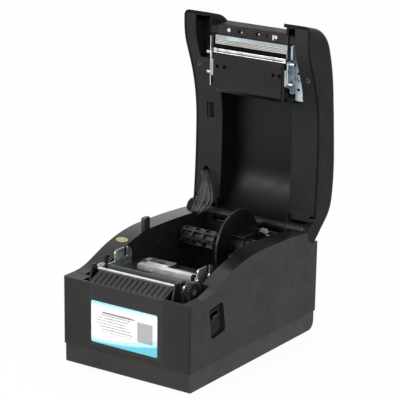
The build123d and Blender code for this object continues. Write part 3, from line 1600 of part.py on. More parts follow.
with BuildPart() as cover_shell:
    extrude(cover_side.sketch, amount=half_width, both=True)
    fillet(
        [
            edge
            for edge in cover_shell.edges().group_by(Axis.X)[0] + cover_shell.edges().group_by(Axis.X)[-1]
            if edge.center().Z > stand + shell_fillet_from
        ],
        cover_fillet,
    )
    add(cover_void.part, mode=Mode.SUBTRACT)
    with BuildSketch(Plane.XY.offset(stand + bay_floor)):
        with Locations(plan(0, notch_depth / 2)):
            Rectangle(2 * notch_half_width, notch_depth)
    extrude(amount=far, mode=Mode.SUBTRACT)
    # Room under the step for the tear bar and the label board
    with BuildSketch(Plane.XY.offset(stand + bay_floor)):
        with Locations(plan(0, notch_depth - seam)):
            Rectangle(
                2 * (notch_half_width + wall + seam),
                board_rear - notch_depth,
                align=(Align.CENTER, Align.MIN),
            )
    extrude(amount=seat_height - bay_floor, mode=Mode.SUBTRACT)
    # Room for the base's knuckles and for the liner's barrel
    with BuildSketch(Plane.YZ):
        with Locations(side(hinge_depth, hinge_height)):
            Circle(ear_room_radius + running_gap)
            Rectangle(hinge_room, hinge_room, align=(Align.CENTER, Align.MAX))
        with Locations(side(liner_rear_depth, hinge_height + barrel_radius + running_gap)):
            Rectangle(hinge_room / 2, hinge_room, align=(Align.MIN, Align.MAX))
    extrude(amount=ear_inner, both=True, mode=Mode.SUBTRACT)
    with BuildSketch(Plane.YZ):
        with Locations(side(hinge_depth, hinge_height)):
            Circle(hinge_bore)
    extrude(amount=half_width - pin_cap, both=True, mode=Mode.SUBTRACT)
    for depth, seat in liner_screw_seats:
        with BuildSketch(Plane.XY.offset(stand + seat)):
            with Locations(plan(-liner_screw_x, depth), plan(liner_screw_x, depth)):
                Circle(screw_shank / 2 + shaft_gap)
        extrude(amount=screw_length + overlap, mode=Mode.SUBTRACT)
    # Button and lens on top
    with BuildSketch(Plane.XY.offset(stand + hinge_height)):
        with Locations(plan(button_x, button_depth)):
            Circle(button_radius + button_gap)
        with Locations(plan(lens_x, button_depth)):
            Rectangle(lens_length + 2 * lens_gap, lens_width + 2 * lens_gap)
    extrude(amount=far, mode=Mode.SUBTRACT)
cover_closed = cover_shell.part
cover_shell.part = cover_closed.rotate(hinge_axis, -open_angle)
cover_shell.part.label = "cover_shell"
export_step(cover_shell.part, "parts/cover_shell.step")

with BuildPart() as cover_liner:
    extrude(liner_side.sketch, amount=half_width - wall - seam, both=True)
    # Walls of the recess over the roll, of the room for the printhead and of the slots
    with BuildSketch(Plane.YZ):
        add(recess_side.sketch_local)
        offset(amount=recess_wall, kind=Kind.INTERSECTION, mode=Mode.REPLACE)
    extrude(amount=recess_half_width + recess_wall, both=True)
    with BuildSketch(Plane.XY.offset(stand + head_room_ceiling + recess_wall)):
        with Locations(plan((head_room_left_x + head_room_right_x) / 2, (head_room_front + recess_front) / 2)):
            Rectangle(
                head_room_right_x - head_room_left_x + 2 * recess_wall,
                recess_front - head_room_front + 2 * recess_wall,
            )
    extrude(amount=-(head_room_ceiling + recess_wall - rim_height - running_gap))
    with BuildSketch(Plane.XY.offset(stand + slot_ceiling + recess_wall)):
        with Locations(plan(slot_left_x / 2 + head_room_left_x / 2, (slot_roof_front + slot_rear) / 2)):
            Rectangle(
                head_room_left_x - slot_left_x + 2 * recess_wall,
                slot_rear - slot_roof_front + recess_wall,
            )
    extrude(amount=-(slot_ceiling + recess_wall - rim_height - running_gap))
    for depth, seat in liner_screw_seats:
        with BuildSketch(Plane.XY.offset(stand + seat + liner_boss_wall)):
            with Locations(plan(-liner_screw_x, depth), plan(liner_screw_x, depth)):
                Circle(screw_head / 2 + screw_well_gap + liner_boss_wall)
        extrude(amount=rim_height - seat)
    # Leave out what lies in the cover's notch, and trim all walls at the rim
    with BuildSketch(Plane.XY.offset(stand + bay_floor)):
        with Locations(plan(0, (head_room_front + overlap) / 2)):
            Rectangle(2 * (notch_half_width + wall + seam), head_room_front + overlap)
    extrude(amount=far, mode=Mode.SUBTRACT)
    with BuildSketch(Plane.YZ):
        with BuildLine():
            trim_end = rim_curve(0, liner_rear_depth, running_gap)
            Polyline(trim_end, side(liner_rear_depth, 0), side(0, 0), side(0, rim_height + running_gap))
        make_face()
    extrude(amount=body_width, both=True, mode=Mode.SUBTRACT)
    # Open the rooms
    extrude(recess_side.sketch, amount=recess_half_width, both=True, mode=Mode.SUBTRACT)
    with BuildSketch(Plane.YZ):
        with Locations(side(recess_front, rim_height)):
            Rectangle(recess_rear_depth - recess_front, recess_rear_height + overlap - rim_height, align=Align.MIN)
    extrude(amount=recess_half_width, both=True, mode=Mode.SUBTRACT)
    with BuildSketch(Plane.XY.offset(stand + bay_floor)):
        with Locations(plan((head_room_left_x + head_room_right_x) / 2, (head_room_front + recess_front) / 2)):
            Rectangle(head_room_right_x - head_room_left_x, recess_front - head_room_front)
    extrude(amount=head_room_ceiling - bay_floor, mode=Mode.SUBTRACT)
    with BuildSketch(Plane.XY.offset(stand + bay_floor)):
        with Locations(plan(slot_left_x, slot_front)):
            Rectangle(head_room_left_x - slot_left_x + overlap, slot_rear - slot_front, align=Align.MIN)
            Rectangle(-notch_half_width - wall - slot_left_x, head_room_front + overlap - slot_front, align=Align.MIN)
        with Locations(plan(notch_half_width + wall, slot_front)):
            Rectangle(head_room_right_x - notch_half_width - wall, head_room_front, align=Align.MIN)
    extrude(amount=slot_ceiling - bay_floor, mode=Mode.SUBTRACT)
    # Slot over the guide post
    with BuildSketch(Plane.XY.offset(stand + rim_height)):
        with Locations(plan(post_x, post_depth)):
            Rectangle(post_room_width, post_room_length)
    extrude(amount=post_top + running_gap - rim_height, mode=Mode.SUBTRACT)
    # Shelf under which the indicator board sits
    with BuildSketch(Plane.XY.offset(stand + seat_height)):
        with Locations(plan((head_room_left_x + head_room_right_x) / 2, (head_room_front + board_rear) / 2)):
            Rectangle(
                head_room_right_x - head_room_left_x + recess_wall,
                board_rear - head_room_front + running_gap,
            )
    extrude(amount=board_shelf_thickness)
    # Hinge barrel
    with BuildSketch(Plane.YZ):
        with Locations(side(hinge_depth, hinge_height)):
            Circle(barrel_radius)
    extrude(amount=barrel_half_length, both=True)
    with BuildSketch(Plane.YZ):
        with Locations(side(hinge_depth, hinge_height)):
            Circle(hinge_bore)
    extrude(amount=half_width, both=True, mode=Mode.SUBTRACT)
    # Button guide
    with BuildSketch(Plane.XY.offset(stand + head_room_ceiling + recess_wall)):
        with Locations(plan(button_x, button_depth)):
            Circle(button_stem / 2 + recess_wall)
            Circle(button_stem / 2 + button_gap, mode=Mode.SUBTRACT)
    extrude(amount=button_guide_height)
    # Sunk screw holes and the hole for the wires
    for depth, seat in liner_screw_seats:
        with BuildSketch(Plane.XY.offset(stand + rim_height)):
            with Locations(plan(-liner_screw_x, depth), plan(liner_screw_x, depth)):
                Circle(screw_head / 2 + screw_well_gap)
        extrude(amount=seat - rim_height, mode=Mode.SUBTRACT)
        with BuildSketch(Plane.XY.offset(stand + rim_height)):
            with Locations(plan(-liner_screw_x, depth), plan(liner_screw_x, depth)):
                Circle(screw_shank / 2 + shaft_gap)
        extrude(amount=far, mode=Mode.SUBTRACT)
    with BuildSketch(Plane.XY.offset(stand + rim_height)):
        with Locations(plan(harness_x, harness_cover_depth)):
            Circle(harness_hole / 2)
    extrude(amount=far, mode=Mode.SUBTRACT)
cover_liner.part = cover_liner.part.rotate(hinge_axis, -open_angle)
cover_liner.part.label = "cover_liner"
export_step(cover_liner.part, "parts/cover_liner.step")

with BuildPart() as liner_screws:
    for depth, seat in liner_screw_seats:
        with BuildSketch(Plane.XY.offset(stand + seat)):
            with Locations(plan(-liner_screw_x, depth), plan(liner_screw_x, depth)):
                Circle(screw_head / 2)
        extrude(amount=-screw_head_height)
        with BuildSketch(Plane.XY.offset(stand + seat)):
            with Locations(plan(-liner_screw_x, depth), plan(liner_screw_x, depth)):
                Circle(screw_shank / 2)
        extrude(amount=screw_length)
liner_screws.part = liner_screws.part.rotate(hinge_axis, -open_angle)
liner_screws.part.label = "liner_screws"
export_step(liner_screws.part, "parts/liner_screws.step")

with BuildPart() as sensor_board:
    with BuildSketch(Plane.XY.offset(stand + board_height)):
        with Locations(plan(0, (board_front + board_rear) / 2)):
            Rectangle(2 * board_half_width, board_rear - board_front)
        with Locations(plan(-board_screw_x, board_screw_depth), plan(board_screw_x, board_screw_depth)):
            Circle(board_screw_shank / 2 + overlap, mode=Mode.SUBTRACT)
    extrude(amount=board_thickness)
    with BuildSketch(Plane.XY.offset(stand + board_height)):
        with Locations(plan(board_plug_x, board_plug_depth)):
            Rectangle(*board_plug)
        with Locations(plan(0, board_chip_depth)):
            Rectangle(*board_chip)
    extrude(amount=-board_part_height)
sensor_board.part = sensor_board.part.rotate(hinge_axis, -open_angle)
sensor_board.part.label = "sensor_board"
export_step(sensor_board.part, "parts/sensor_board.step")

with BuildPart() as board_screws:
    with BuildSketch(Plane.XY.offset(stand + board_height)):
        with Locations(plan(-board_screw_x, board_screw_depth), plan(board_screw_x, board_screw_depth)):
            Circle(board_screw_head / 2)
    extrude(amount=-board_part_height)
    with BuildSketch(Plane.XY.offset(stand + board_height)):
        with Locations(plan(-board_screw_x, board_screw_depth), plan(board_screw_x, board_screw_depth)):
            Circle(board_screw_shank / 2)
    extrude(amount=board_thickness)
board_screws.part = board_screws.part.rotate(hinge_axis, -open_angle)
board_screws.part.label = "board_screws"
export_step(board_screws.part, "parts/board_screws.step")

# Printhead: bracket on the liner, and the head that tilts on two pins in it
arm_front = stud_depth - arm_margin
arm_rear = lock_depth + arm_margin
with BuildPart() as head_bracket:
    with BuildSketch(Plane.XY.offset(stand + head_room_ceiling)):
        with Locations(plan(0, (arm_front + arm_rear) / 2)):
            Rectangle(2 * bracket_x, arm_rear - arm_front)
    extrude(amount=-bracket_thickness)
    for turn in (-1, 1):
        with BuildSketch(Plane.YZ.offset(turn * bracket_x)):
            with BuildLine():
                Polyline(
                    side(arm_front, head_room_ceiling),
                    side(arm_front, stud_height + arm_throat),
                    side(stud_depth - arm_throat / 2, stud_height - arm_throat),
                    side(lock_depth, lock_height - arm_throat),
                    side(arm_rear, lock_height),
                    side(arm_rear, head_room_ceiling),
                    close=True,
                )
            make_face()
        extrude(amount=-turn * bracket_thickness)
        with BuildSketch(Plane.YZ.offset(turn * bracket_x)):
            with Locations(side(stud_depth, stud_height)):
                Circle(lock_diameter / 2)
        extrude(amount=turn * (hook_x + hook_thickness / 2 + lock_pin_gap - bracket_x))
        with BuildSketch(Plane.YZ.offset(turn * (bracket_x - bracket_thickness - lock_pin_inset))):
            with Locations(side(lock_depth, lock_height)):
                Circle(lock_diameter / 2)
        extrude(amount=turn * (lock_outer_x - bracket_x + bracket_thickness + lock_pin_inset))
    # Flange over the gears on the right
    with BuildSketch(Plane.XY.offset(stand + head_room_ceiling)):
        with Locations(plan(bracket_x, bracket_flange_front)):
            Rectangle(head_room_right_x - seam - bracket_x, bracket_flange_length, align=Align.MIN)
    extrude(amount=-bracket_thickness)
head_bracket.part = head_bracket.part.rotate(hinge_axis, -open_angle)
head_bracket.part.label = "head_bracket"
export_step(head_bracket.part, "parts/head_bracket.step")

ear_outer = bracket_x - bracket_thickness - seam
with BuildPart() as printhead:
    with BuildSketch(Plane.YZ):
        with BuildLine():
            Polyline(
                side(head_front, head_lip_height),
                side(head_front + head_lip_depth, head_lip_height),
                side(head_front + head_lip_depth, ceramic_height + ceramic_thickness),
                side(head_rear, ceramic_height + ceramic_thickness),
                side(head_rear, head_top),
                side(head_front, head_top),
                close=True,
            )
        make_face()
    extrude(amount=head_half_width, both=True)
    for turn in (-1, 1):
        with BuildSketch(Plane.YZ.offset(turn * ear_outer)):
            with BuildLine():
                Polyline(
                    side(head_rear - head_ear_overlap, head_top),
                    side(head_rear - head_ear_overlap, lock_height - head_ear_wall),
                    side(lock_depth + lock_diameter / 2, lock_height - head_ear_wall),
                    side(lock_depth + lock_diameter, lock_height),
                    side(lock_depth + lock_diameter / 2, head_top),
                    close=True,
                )
            make_face()
            with Locations(side(lock_depth, lock_height)):
                Circle(lock_diameter / 2 + lock_pin_gap, mode=Mode.SUBTRACT)
        extrude(amount=-turn * head_ear_thickness)
printhead.part = printhead.part.rotate(hinge_axis, -open_angle)
printhead.part.label = "printhead"
export_step(printhead.part, "parts/printhead.step")

with BuildPart() as head_ceramic:
    with BuildSketch(Plane.YZ):
        with BuildLine():
            Polyline(
                side(ceramic_front, ceramic_height),
                side(ceramic_bend, ceramic_height),
                side(ceramic_rear, ceramic_height + ceramic_drop),
                side(ceramic_rear, ceramic_height + ceramic_thickness),
                side(ceramic_front, ceramic_height + ceramic_thickness),
                close=True,
            )
        make_face()
    extrude(amount=head_half_width - ceramic_margin, both=True)
head_ceramic.part = head_ceramic.part.rotate(hinge_axis, -open_angle)
head_ceramic.part.label = "head_ceramic"
export_step(head_ceramic.part, "parts/head_ceramic.step")

with BuildPart() as head_cover:
    with BuildSketch(Plane.YZ):
        with BuildLine():
            Polyline(
                side(head_cover_front, ceramic_height + ceramic_thickness),
                side(head_cover_front, head_cover_height + head_cover_nose),
                side(head_cover_front + head_cover_nose, head_cover_height),
                side(head_cover_rear - head_cover_tail, head_cover_height),
                side(head_cover_rear, head_cover_height + head_cover_tail),
                side(head_cover_rear, head_top),
                side(head_rear, head_top),
                side(head_rear, ceramic_height + ceramic_thickness),
                close=True,
            )
        make_face()
    extrude(amount=head_cover_half_width, both=True)
    fillet(head_cover.edges().filter_by(Axis.Z), head_cover_fillet)
head_cover.part = head_cover.part.rotate(hinge_axis, -open_angle)
head_cover.part.label = "head_cover"
export_step(head_cover.part, "parts/head_cover.step")

with BuildPart() as feed_button:
    with BuildSketch(Plane.XY.offset(stand + button_height)):
        with Locations(plan(button_x, button_depth)):
            Circle(button_radius)
    extrude(amount=-button_skirt)
    fillet(feed_button.edges().group_by(Axis.Z)[-1], button_fillet)
    with BuildSketch(Plane.XY.offset(stand + button_height - button_skirt)):
        with Locations(plan(button_x, button_depth)):
            Circle(button_radius + button_collar)
    extrude(amount=-button_collar)
    with BuildSketch(Plane.XY.offset(stand + button_height - button_skirt - button_collar)):
        with Locations(plan(button_x, button_depth)):
            Circle(button_stem / 2)
    extrude(amount=-button_stem_length)
feed_button.part = feed_button.part.rotate(hinge_axis, -open_angle)
feed_button.part.label = "feed_button"
export_step(feed_button.part, "parts/feed_button.step")

with BuildPart() as indicator_lens:
    with BuildSketch(Plane.XY.offset(stand + lens_height)):
        with Locations(plan(lens_x, button_depth)):
            Rectangle(lens_length, lens_width)
    extrude(amount=-lens_skirt)
    with BuildSketch(Plane.XY.offset(stand + lens_height - lens_skirt)):
        with Locations(plan(lens_x, button_depth)):
            Rectangle(lens_length + 2 * lens_collar, lens_width + 2 * lens_collar)
    extrude(amount=-lens_collar)
indicator_lens.part = indicator_lens.part.rotate(hinge_axis, -open_angle)
indicator_lens.part.label = "indicator_lens"
export_step(indicator_lens.part, "parts/indicator_lens.step")


# Wires from the left deck up into the open cover

cover_hole_height = hinge_height + hinge_depth - harness_cover_depth
with BuildPart() as wire_harness:
    with BuildLine() as harness_path:
        FilletPolyline(
            spot(harness_x, harness_base_depth, harness_start_height),
            spot(harness_x, harness_base_depth + 1, cover_hole_height - 30),
            spot(harness_x, harness_base_depth + 10, cover_hole_height),
            spot(harness_x, harness_end_depth, cover_hole_height),
            radius=harness_bends,
        )
    with BuildSketch(Plane(origin=harness_path.line @ 0, z_dir=harness_path.line % 0)):
        Circle(harness_diameter / 2)
    sweep()
harness_length = sum(edge.length for edge in harness_path.line.edges())
harness_section = pi * (harness_diameter / 2) ** 2
print("harness volume", wire_harness.part.volume, "section times length", harness_length * harness_section)
print("harness length", harness_length, "bend radii", harness_bends)
wire_harness.part.label = "wire_harness"
export_step(wire_harness.part, "parts/wire_harness.step")
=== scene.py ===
import bpy
import bmesh
import random
from math import cos, pi, radians, sin, sqrt
from mathutils import Matrix, Vector


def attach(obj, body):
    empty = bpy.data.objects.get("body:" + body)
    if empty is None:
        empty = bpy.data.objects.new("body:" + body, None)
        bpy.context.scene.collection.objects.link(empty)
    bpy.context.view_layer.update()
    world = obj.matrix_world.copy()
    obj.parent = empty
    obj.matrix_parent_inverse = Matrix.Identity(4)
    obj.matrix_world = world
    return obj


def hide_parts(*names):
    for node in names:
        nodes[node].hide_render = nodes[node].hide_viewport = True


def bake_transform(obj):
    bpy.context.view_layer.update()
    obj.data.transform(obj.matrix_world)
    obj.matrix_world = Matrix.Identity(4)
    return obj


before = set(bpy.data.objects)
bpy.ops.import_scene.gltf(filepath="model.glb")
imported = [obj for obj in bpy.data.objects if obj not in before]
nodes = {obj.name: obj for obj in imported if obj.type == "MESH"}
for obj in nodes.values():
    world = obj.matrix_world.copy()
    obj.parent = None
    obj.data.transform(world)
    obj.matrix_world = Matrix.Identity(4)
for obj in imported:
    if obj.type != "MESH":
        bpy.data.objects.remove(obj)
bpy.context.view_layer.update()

# Sizes shared with the solids, in millimetres. Depth runs back from the front face, and height up from the
# underside of the tray
half_width = 75.0
body_depth = 226.0
rim_height = 88.5
stand = 2.0
hinge_depth = body_depth - 8.5
hinge_height = rim_height + 16.5
cover_top = rim_height + 57.47
crest_depth = 122.5
crest_height = rim_height + 23.26
crest_radius = 180.0

# The origin lies midway between the front face and the back of the open cover
front_y = -(hinge_depth + cover_top - hinge_height) / 2


def at(x, depth, height):
    """Point of the base, in metres."""
    return Vector((x, front_y + depth, stand + height)) / 1000


def on_cover(x, depth, height):
    """Point of the cover given where it lies when the cover is closed, in metres, as it stands open."""
    return at(x, hinge_depth + height - hinge_height, hinge_height + hinge_depth - depth)


# Steps of one millimetre: to the right, to the back, up from the base, and up from the closed cover
sideways = Vector((1, 0, 0)) / 1000
backwards = Vector((0, 1, 0)) / 1000
base_lift = at(0, 0, 1) - at(0, 0, 0)
cover_lift = on_cover(0, 0, 1) - on_cover(0, 0, 0)


# Camera at the photograph's viewpoint

photo_pixels = 400
focal_pixels = 2065
sensor_width = 36.0
azimuth = radians(34.44)
pitch = radians(16.80)
roll = radians(0.62)
back = Vector((sin(azimuth) * cos(pitch), -cos(azimuth) * cos(pitch), sin(pitch)))
right = Vector((cos(azimuth), sin(azimuth), 0))
up = back.cross(right)
right_rolled = right * cos(roll) + up * sin(roll)
up_rolled = up * cos(roll) - right * sin(roll)
camera_data = bpy.data.cameras.new("camera")
camera_data.sensor_width = sensor_width
camera_data.lens = sensor_width * focal_pixels / photo_pixels
camera_data.clip_end = 20.0
camera = bpy.data.objects.new("camera", camera_data)
bpy.context.scene.collection.objects.link(camera)
camera_turn = Matrix((right_rolled, up_rolled, back)).transposed()
camera_place = at(1105.1, -1487.9, 738.7)
camera.matrix_world = Matrix.Translation(camera_place) @ camera_turn.to_4x4()
bpy.context.scene.camera = camera
bpy.context.scene.view_settings.view_transform = "Standard"


# Shader helpers

def new_material(name):
    """Material with its node tree and its surface shader."""
    material = bpy.data.materials.new(name)
    material.use_nodes = True
    tree = material.node_tree
    tree.nodes.clear()
    output = tree.nodes.new("ShaderNodeOutputMaterial")
    surface = tree.nodes.new("ShaderNodeBsdfPrincipled")
    tree.links.new(surface.outputs["BSDF"], output.inputs["Surface"])
    return material, tree, surface


def object_noise(tree, scale, detail=4.0, stretch=(1, 1, 1)):
    """Noise over the object's own coordinates; scale is in features per metre."""
    place = tree.nodes.new("ShaderNodeTexCoord")
    mapping = tree.nodes.new("ShaderNodeMapping")
    mapping.inputs["Scale"].default_value = stretch
    noise = tree.nodes.new("ShaderNodeTexNoise")
    noise.inputs["Scale"].default_value = scale
    noise.inputs["Detail"].default_value = detail
    tree.links.new(place.outputs["Object"], mapping.inputs["Vector"])
    tree.links.new(mapping.outputs["Vector"], noise.inputs["Vector"])
    return noise.outputs["Fac"]


def spread(tree, value, low, high, start=0.35, end=0.65):
    """Maps a value between start and end onto low to high."""
    node = tree.nodes.new("ShaderNodeMapRange")
    node.inputs["From Min"].default_value = start
    node.inputs["From Max"].default_value = end
    node.inputs["To Min"].default_value = low
    node.inputs["To Max"].default_value = high
    tree.links.new(value, node.inputs["Value"])
    return node.outputs["Result"]


# Where a Mix node keeps its factor, its two colours and its mixed colour
mix_factor = 0
mix_first = 6
mix_second = 7
mix_result = 2


def two_colours(tree, factor, first, second):
    """Mixes two colours by a factor; the first one may already be a socket."""
    mix = tree.nodes.new("ShaderNodeMix")
    mix.data_type = "RGBA"
    if isinstance(first, tuple):
        mix.inputs[mix_first].default_value = (*first, 1)
    else:
        tree.links.new(first, mix.inputs[mix_first])
    mix.inputs[mix_second].default_value = (*second, 1)
    tree.links.new(factor, mix.inputs[mix_factor])
    return mix.outputs[mix_result]


def calculate(tree, operation, first, second=0.0):
    """Arithmetic on two values, each a number or a socket."""
    node = tree.nodes.new("ShaderNodeMath")
    node.operation = operation
    for slot, value in enumerate((first, second)):
        if isinstance(value, (int, float)):
            node.inputs[slot].default_value = value
        else:
            tree.links.new(value, node.inputs[slot])
    return node.outputs["Value"]


def between(tree, value, limits, blur):
    """One where the value lies between two limits, with soft ends."""
    low, high = limits
    rise = spread(tree, value, 0, 1, low - blur, low + blur)
    fall = spread(tree, value, 1, 0, high - blur, high + blur)
    return calculate(tree, "MULTIPLY", rise, fall)


def place_of(tree):
    """The object's own coordinates, as sockets named X, Y and Z."""
    place = tree.nodes.new("ShaderNodeTexCoord")
    split = tree.nodes.new("ShaderNodeSeparateXYZ")
    tree.links.new(place.outputs["Object"], split.inputs["Vector"])
    return split.outputs


def facing_up(tree, enough=0.6):
    """One where the surface looks up, elsewhere zero."""
    geometry = tree.nodes.new("ShaderNodeNewGeometry")
    facing = tree.nodes.new("ShaderNodeSeparateXYZ")
    tree.links.new(geometry.outputs["Normal"], facing.inputs["Vector"])
    return calculate(tree, "GREATER_THAN", facing.outputs["Z"], enough)


def edge_mask(tree, radius, low=0.02, high=0.3):
    """Bright along edges: how far a rounded normal leans away from the true one."""
    bevel = tree.nodes.new("ShaderNodeBevel")
    bevel.samples = 4
    bevel.inputs["Radius"].default_value = radius
    geometry = tree.nodes.new("ShaderNodeNewGeometry")
    dot = tree.nodes.new("ShaderNodeVectorMath")
    dot.operation = "DOT_PRODUCT"
    tree.links.new(bevel.outputs["Normal"], dot.inputs[0])
    tree.links.new(geometry.outputs["Normal"], dot.inputs[1])
    return spread(tree, dot.outputs["Value"], 1.0, 0.0, 1 - high, 1 - low)


def add_bump(tree, surface, value, strength, distance, inner=None):
    """Adds relief to the surface, over an inner relief where one is given; distance is in metres."""
    bump = tree.nodes.new("ShaderNodeBump")
    bump.inputs["Strength"].default_value = strength
    bump.inputs["Distance"].default_value = distance
    tree.links.new(value, bump.inputs["Height"])
    if inner is not None:
        tree.links.new(inner, bump.inputs["Normal"])
    tree.links.new(bump.outputs["Normal"], surface.inputs["Normal"])
    return bump.outputs["Normal"]


def grey(value):
    """Neutral colour."""
    return (value, value, value)


# Materials; their lengths are in metres

def moulded_plastic(
    name, dark, light, roughness, shine=0.5, grain=2600, relief=0.00008, edge_wear_and_highlight=None, softness=0.0006,
    painted_inside=None, top_gloss=None
):
    """Moulded plastic: a fine eroded grain, cloudy colour, varied gloss and paler edges, which are wear,
    and a painted highlight where their colour is near white.

    A painted inside is a colour painted over the inner walls, lighter where it is painted light and darker
    where it is painted shade, with its own roughness. It is given as the half width that it fills, how far
    back it goes, its colour and its roughness. It leaves out what looks up where there is a top gloss,
    which is the roughness of what looks up.
    """
    material, tree, surface = new_material(name)
    surface.inputs["Specular IOR Level"].default_value = shine
    clouds = spread(tree, object_noise(tree, scale=22, detail=5), 0, 1)
    colour = two_colours(tree, clouds, dark, light)
    gloss = spread(tree, object_noise(tree, scale=60, detail=6), roughness - 0.05, roughness + 0.06)
    # Paler edges: wear on most plastics, and on the spool a near-white painted highlight
    if edge_wear_and_highlight is not None:
        patches = spread(tree, object_noise(tree, scale=160, detail=6), 0.15, 1)
        worn_and_highlit_edges = calculate(tree, "MULTIPLY", edge_mask(tree, softness), patches)
        colour = two_colours(tree, worn_and_highlit_edges, colour, edge_wear_and_highlight)
    if top_gloss is not None:
        upward = facing_up(tree)
        gloss = calculate(tree, "ADD", gloss, calculate(tree, "MULTIPLY", upward, top_gloss - roughness))
    # The inner walls take a painted colour: lighter for painted light, darker for painted shade
    if painted_inside is not None:
        painted_inside_half, painted_inside_rear, painted_inside_colour, painted_inside_roughness = painted_inside
        place = place_of(tree)
        beside = calculate(tree, "LESS_THAN", calculate(tree, "ABSOLUTE", place["X"]), painted_inside_half)
        within = calculate(tree, "MULTIPLY", beside, calculate(tree, "LESS_THAN", place["Y"], painted_inside_rear))
        if top_gloss is not None:
            within = calculate(tree, "MULTIPLY", within, calculate(tree, "SUBTRACT", 1.0, upward))
        colour = two_colours(tree, within, colour, painted_inside_colour)
        change = calculate(tree, "MULTIPLY", within, painted_inside_roughness - roughness)
        gloss = calculate(tree, "ADD", gloss, change)
    tree.links.new(colour, surface.inputs["Base Color"])
    tree.links.new(gloss, surface.inputs["Roughness"])
    coarse = object_noise(tree, scale=grain / 8, detail=3)
    fine = object_noise(tree, scale=grain, detail=6)
    inner = add_bump(tree, surface, coarse, strength=0.18, distance=relief * 3)
    add_bump(tree, surface, fine, strength=0.45, distance=relief, inner=inner)
    return material


def metal(name, dark, light, roughness, stretch=(1, 1, 1), grain=900, tint=None):
    """Bare or plated metal with a drawn grain, cloudy tarnish and fine scratches."""
    material, tree, surface = new_material(name)
    surface.inputs["Metallic"].default_value = 0.88
    clouds = spread(tree, object_noise(tree, scale=90, detail=6), 0, 1)
    colour = two_colours(tree, clouds, dark, light)
    if tint is not None:
        patches = spread(tree, object_noise(tree, scale=45, detail=4), 0, 0.75, 0.45, 0.62)
        colour = two_colours(tree, patches, colour, tint)
    tree.links.new(colour, surface.inputs["Base Color"])
    drawn = object_noise(tree, scale=grain, detail=4, stretch=stretch)
    tree.links.new(spread(tree, drawn, roughness - 0.08, roughness + 0.1), surface.inputs["Roughness"])
    scratches = object_noise(tree, scale=grain, detail=3, stretch=stretch)
    add_bump(tree, surface, scratches, strength=0.25, distance=0.00003)
    return material


def label_stock(name, left, right, low, high):
    """Glossy white label with a generic print: pale bands, thin grey lines and a striped grey block.

    What is printed is placed by its share of the label's width and height.
    """
    heading_rows = (0.735, 0.775)
    heading_columns = (0.17, 0.66)
    text_rows = (0.30, 0.80)
    text_columns = (0.12, 0.58)
    rows_over_height = 15.0
    inked_part_of_row = (0.35, 0.68)
    block_rows = (0.27, 0.74)
    block_columns = (0.70, 0.93)
    stripe_radians = 420.0

    material, tree, surface = new_material(name)
    place = place_of(tree)
    across = spread(tree, place["X"], 0, 1, left, right)
    upward = spread(tree, place["Z"], 0, 1, low, high)
    grain = spread(tree, object_noise(tree, scale=500, detail=4), 0, 1)
    colour = two_colours(tree, grain, (0.91, 0.93, 0.94), (0.96, 0.97, 0.98))

    # Bands along the top and the bottom, each with a curved edge
    bow = calculate(tree, "MULTIPLY", across, across)
    top_edge = calculate(tree, "SUBTRACT", upward, calculate(tree, "MULTIPLY", bow, 0.05))
    colour = two_colours(tree, spread(tree, top_edge, 0, 1, 0.86, 0.97), colour, (0.36, 0.76, 0.84))
    for rise, start, end, tint in (
        (0.30, -0.12, -0.09, (0.52, 0.85, 0.90)),
        (0.22, -0.055, -0.02, (0.13, 0.60, 0.72)),
    ):
        low_edge = calculate(tree, "SUBTRACT", calculate(tree, "MULTIPLY", bow, rise), upward)
        colour = two_colours(tree, spread(tree, low_edge, 0, 1, start, end), colour, tint)

    # Thin lines of uneven length, broken up along it, under a heading
    speckle = object_noise(tree, scale=1500, detail=2, stretch=(1, 1, 0.1))
    ink = spread(tree, speckle, 0.45, 0.95, 0.4, 0.6)
    row = calculate(tree, "MULTIPLY", upward, rows_over_height)
    in_row = between(tree, calculate(tree, "FRACT", row), inked_part_of_row, 0.1)
    in_text = between(tree, upward, text_rows, 0.005)
    uneven = calculate(tree, "MULTIPLY", calculate(tree, "SINE", calculate(tree, "FLOOR", row)), 0.05)
    in_length = between(tree, calculate(tree, "ADD", across, uneven), text_columns, 0.01)
    lines = calculate(tree, "MULTIPLY", calculate(tree, "MULTIPLY", in_row, in_text), in_length)
    colour = two_colours(tree, calculate(tree, "MULTIPLY", lines, ink), colour, (0.10, 0.11, 0.12))
    in_heading = between(tree, upward, heading_rows, 0.008)
    heading = calculate(tree, "MULTIPLY", in_heading, between(tree, across, heading_columns, 0.01))
    colour = two_colours(tree, calculate(tree, "MULTIPLY", heading, ink), colour, (0.10, 0.02, 0.03))

    # Striped block on the right
    wave = calculate(tree, "SINE", calculate(tree, "MULTIPLY", across, stripe_radians))
    stripes = spread(tree, wave, 0.55, 0.9, -1, 1)
    in_block = between(tree, across, block_columns, 0.006)
    block = calculate(tree, "MULTIPLY", in_block, between(tree, upward, block_rows, 0.01))
    colour = two_colours(tree, calculate(tree, "MULTIPLY", block, stripes), colour, (0.22, 0.23, 0.24))

    tree.links.new(colour, surface.inputs["Base Color"])
    gloss = spread(tree, object_noise(tree, scale=80, detail=5), 0.22, 0.34)
    tree.links.new(gloss, surface.inputs["Roughness"])
    add_bump(tree, surface, object_noise(tree, scale=260, detail=4), strength=0.1, distance=0.00004)
    return material


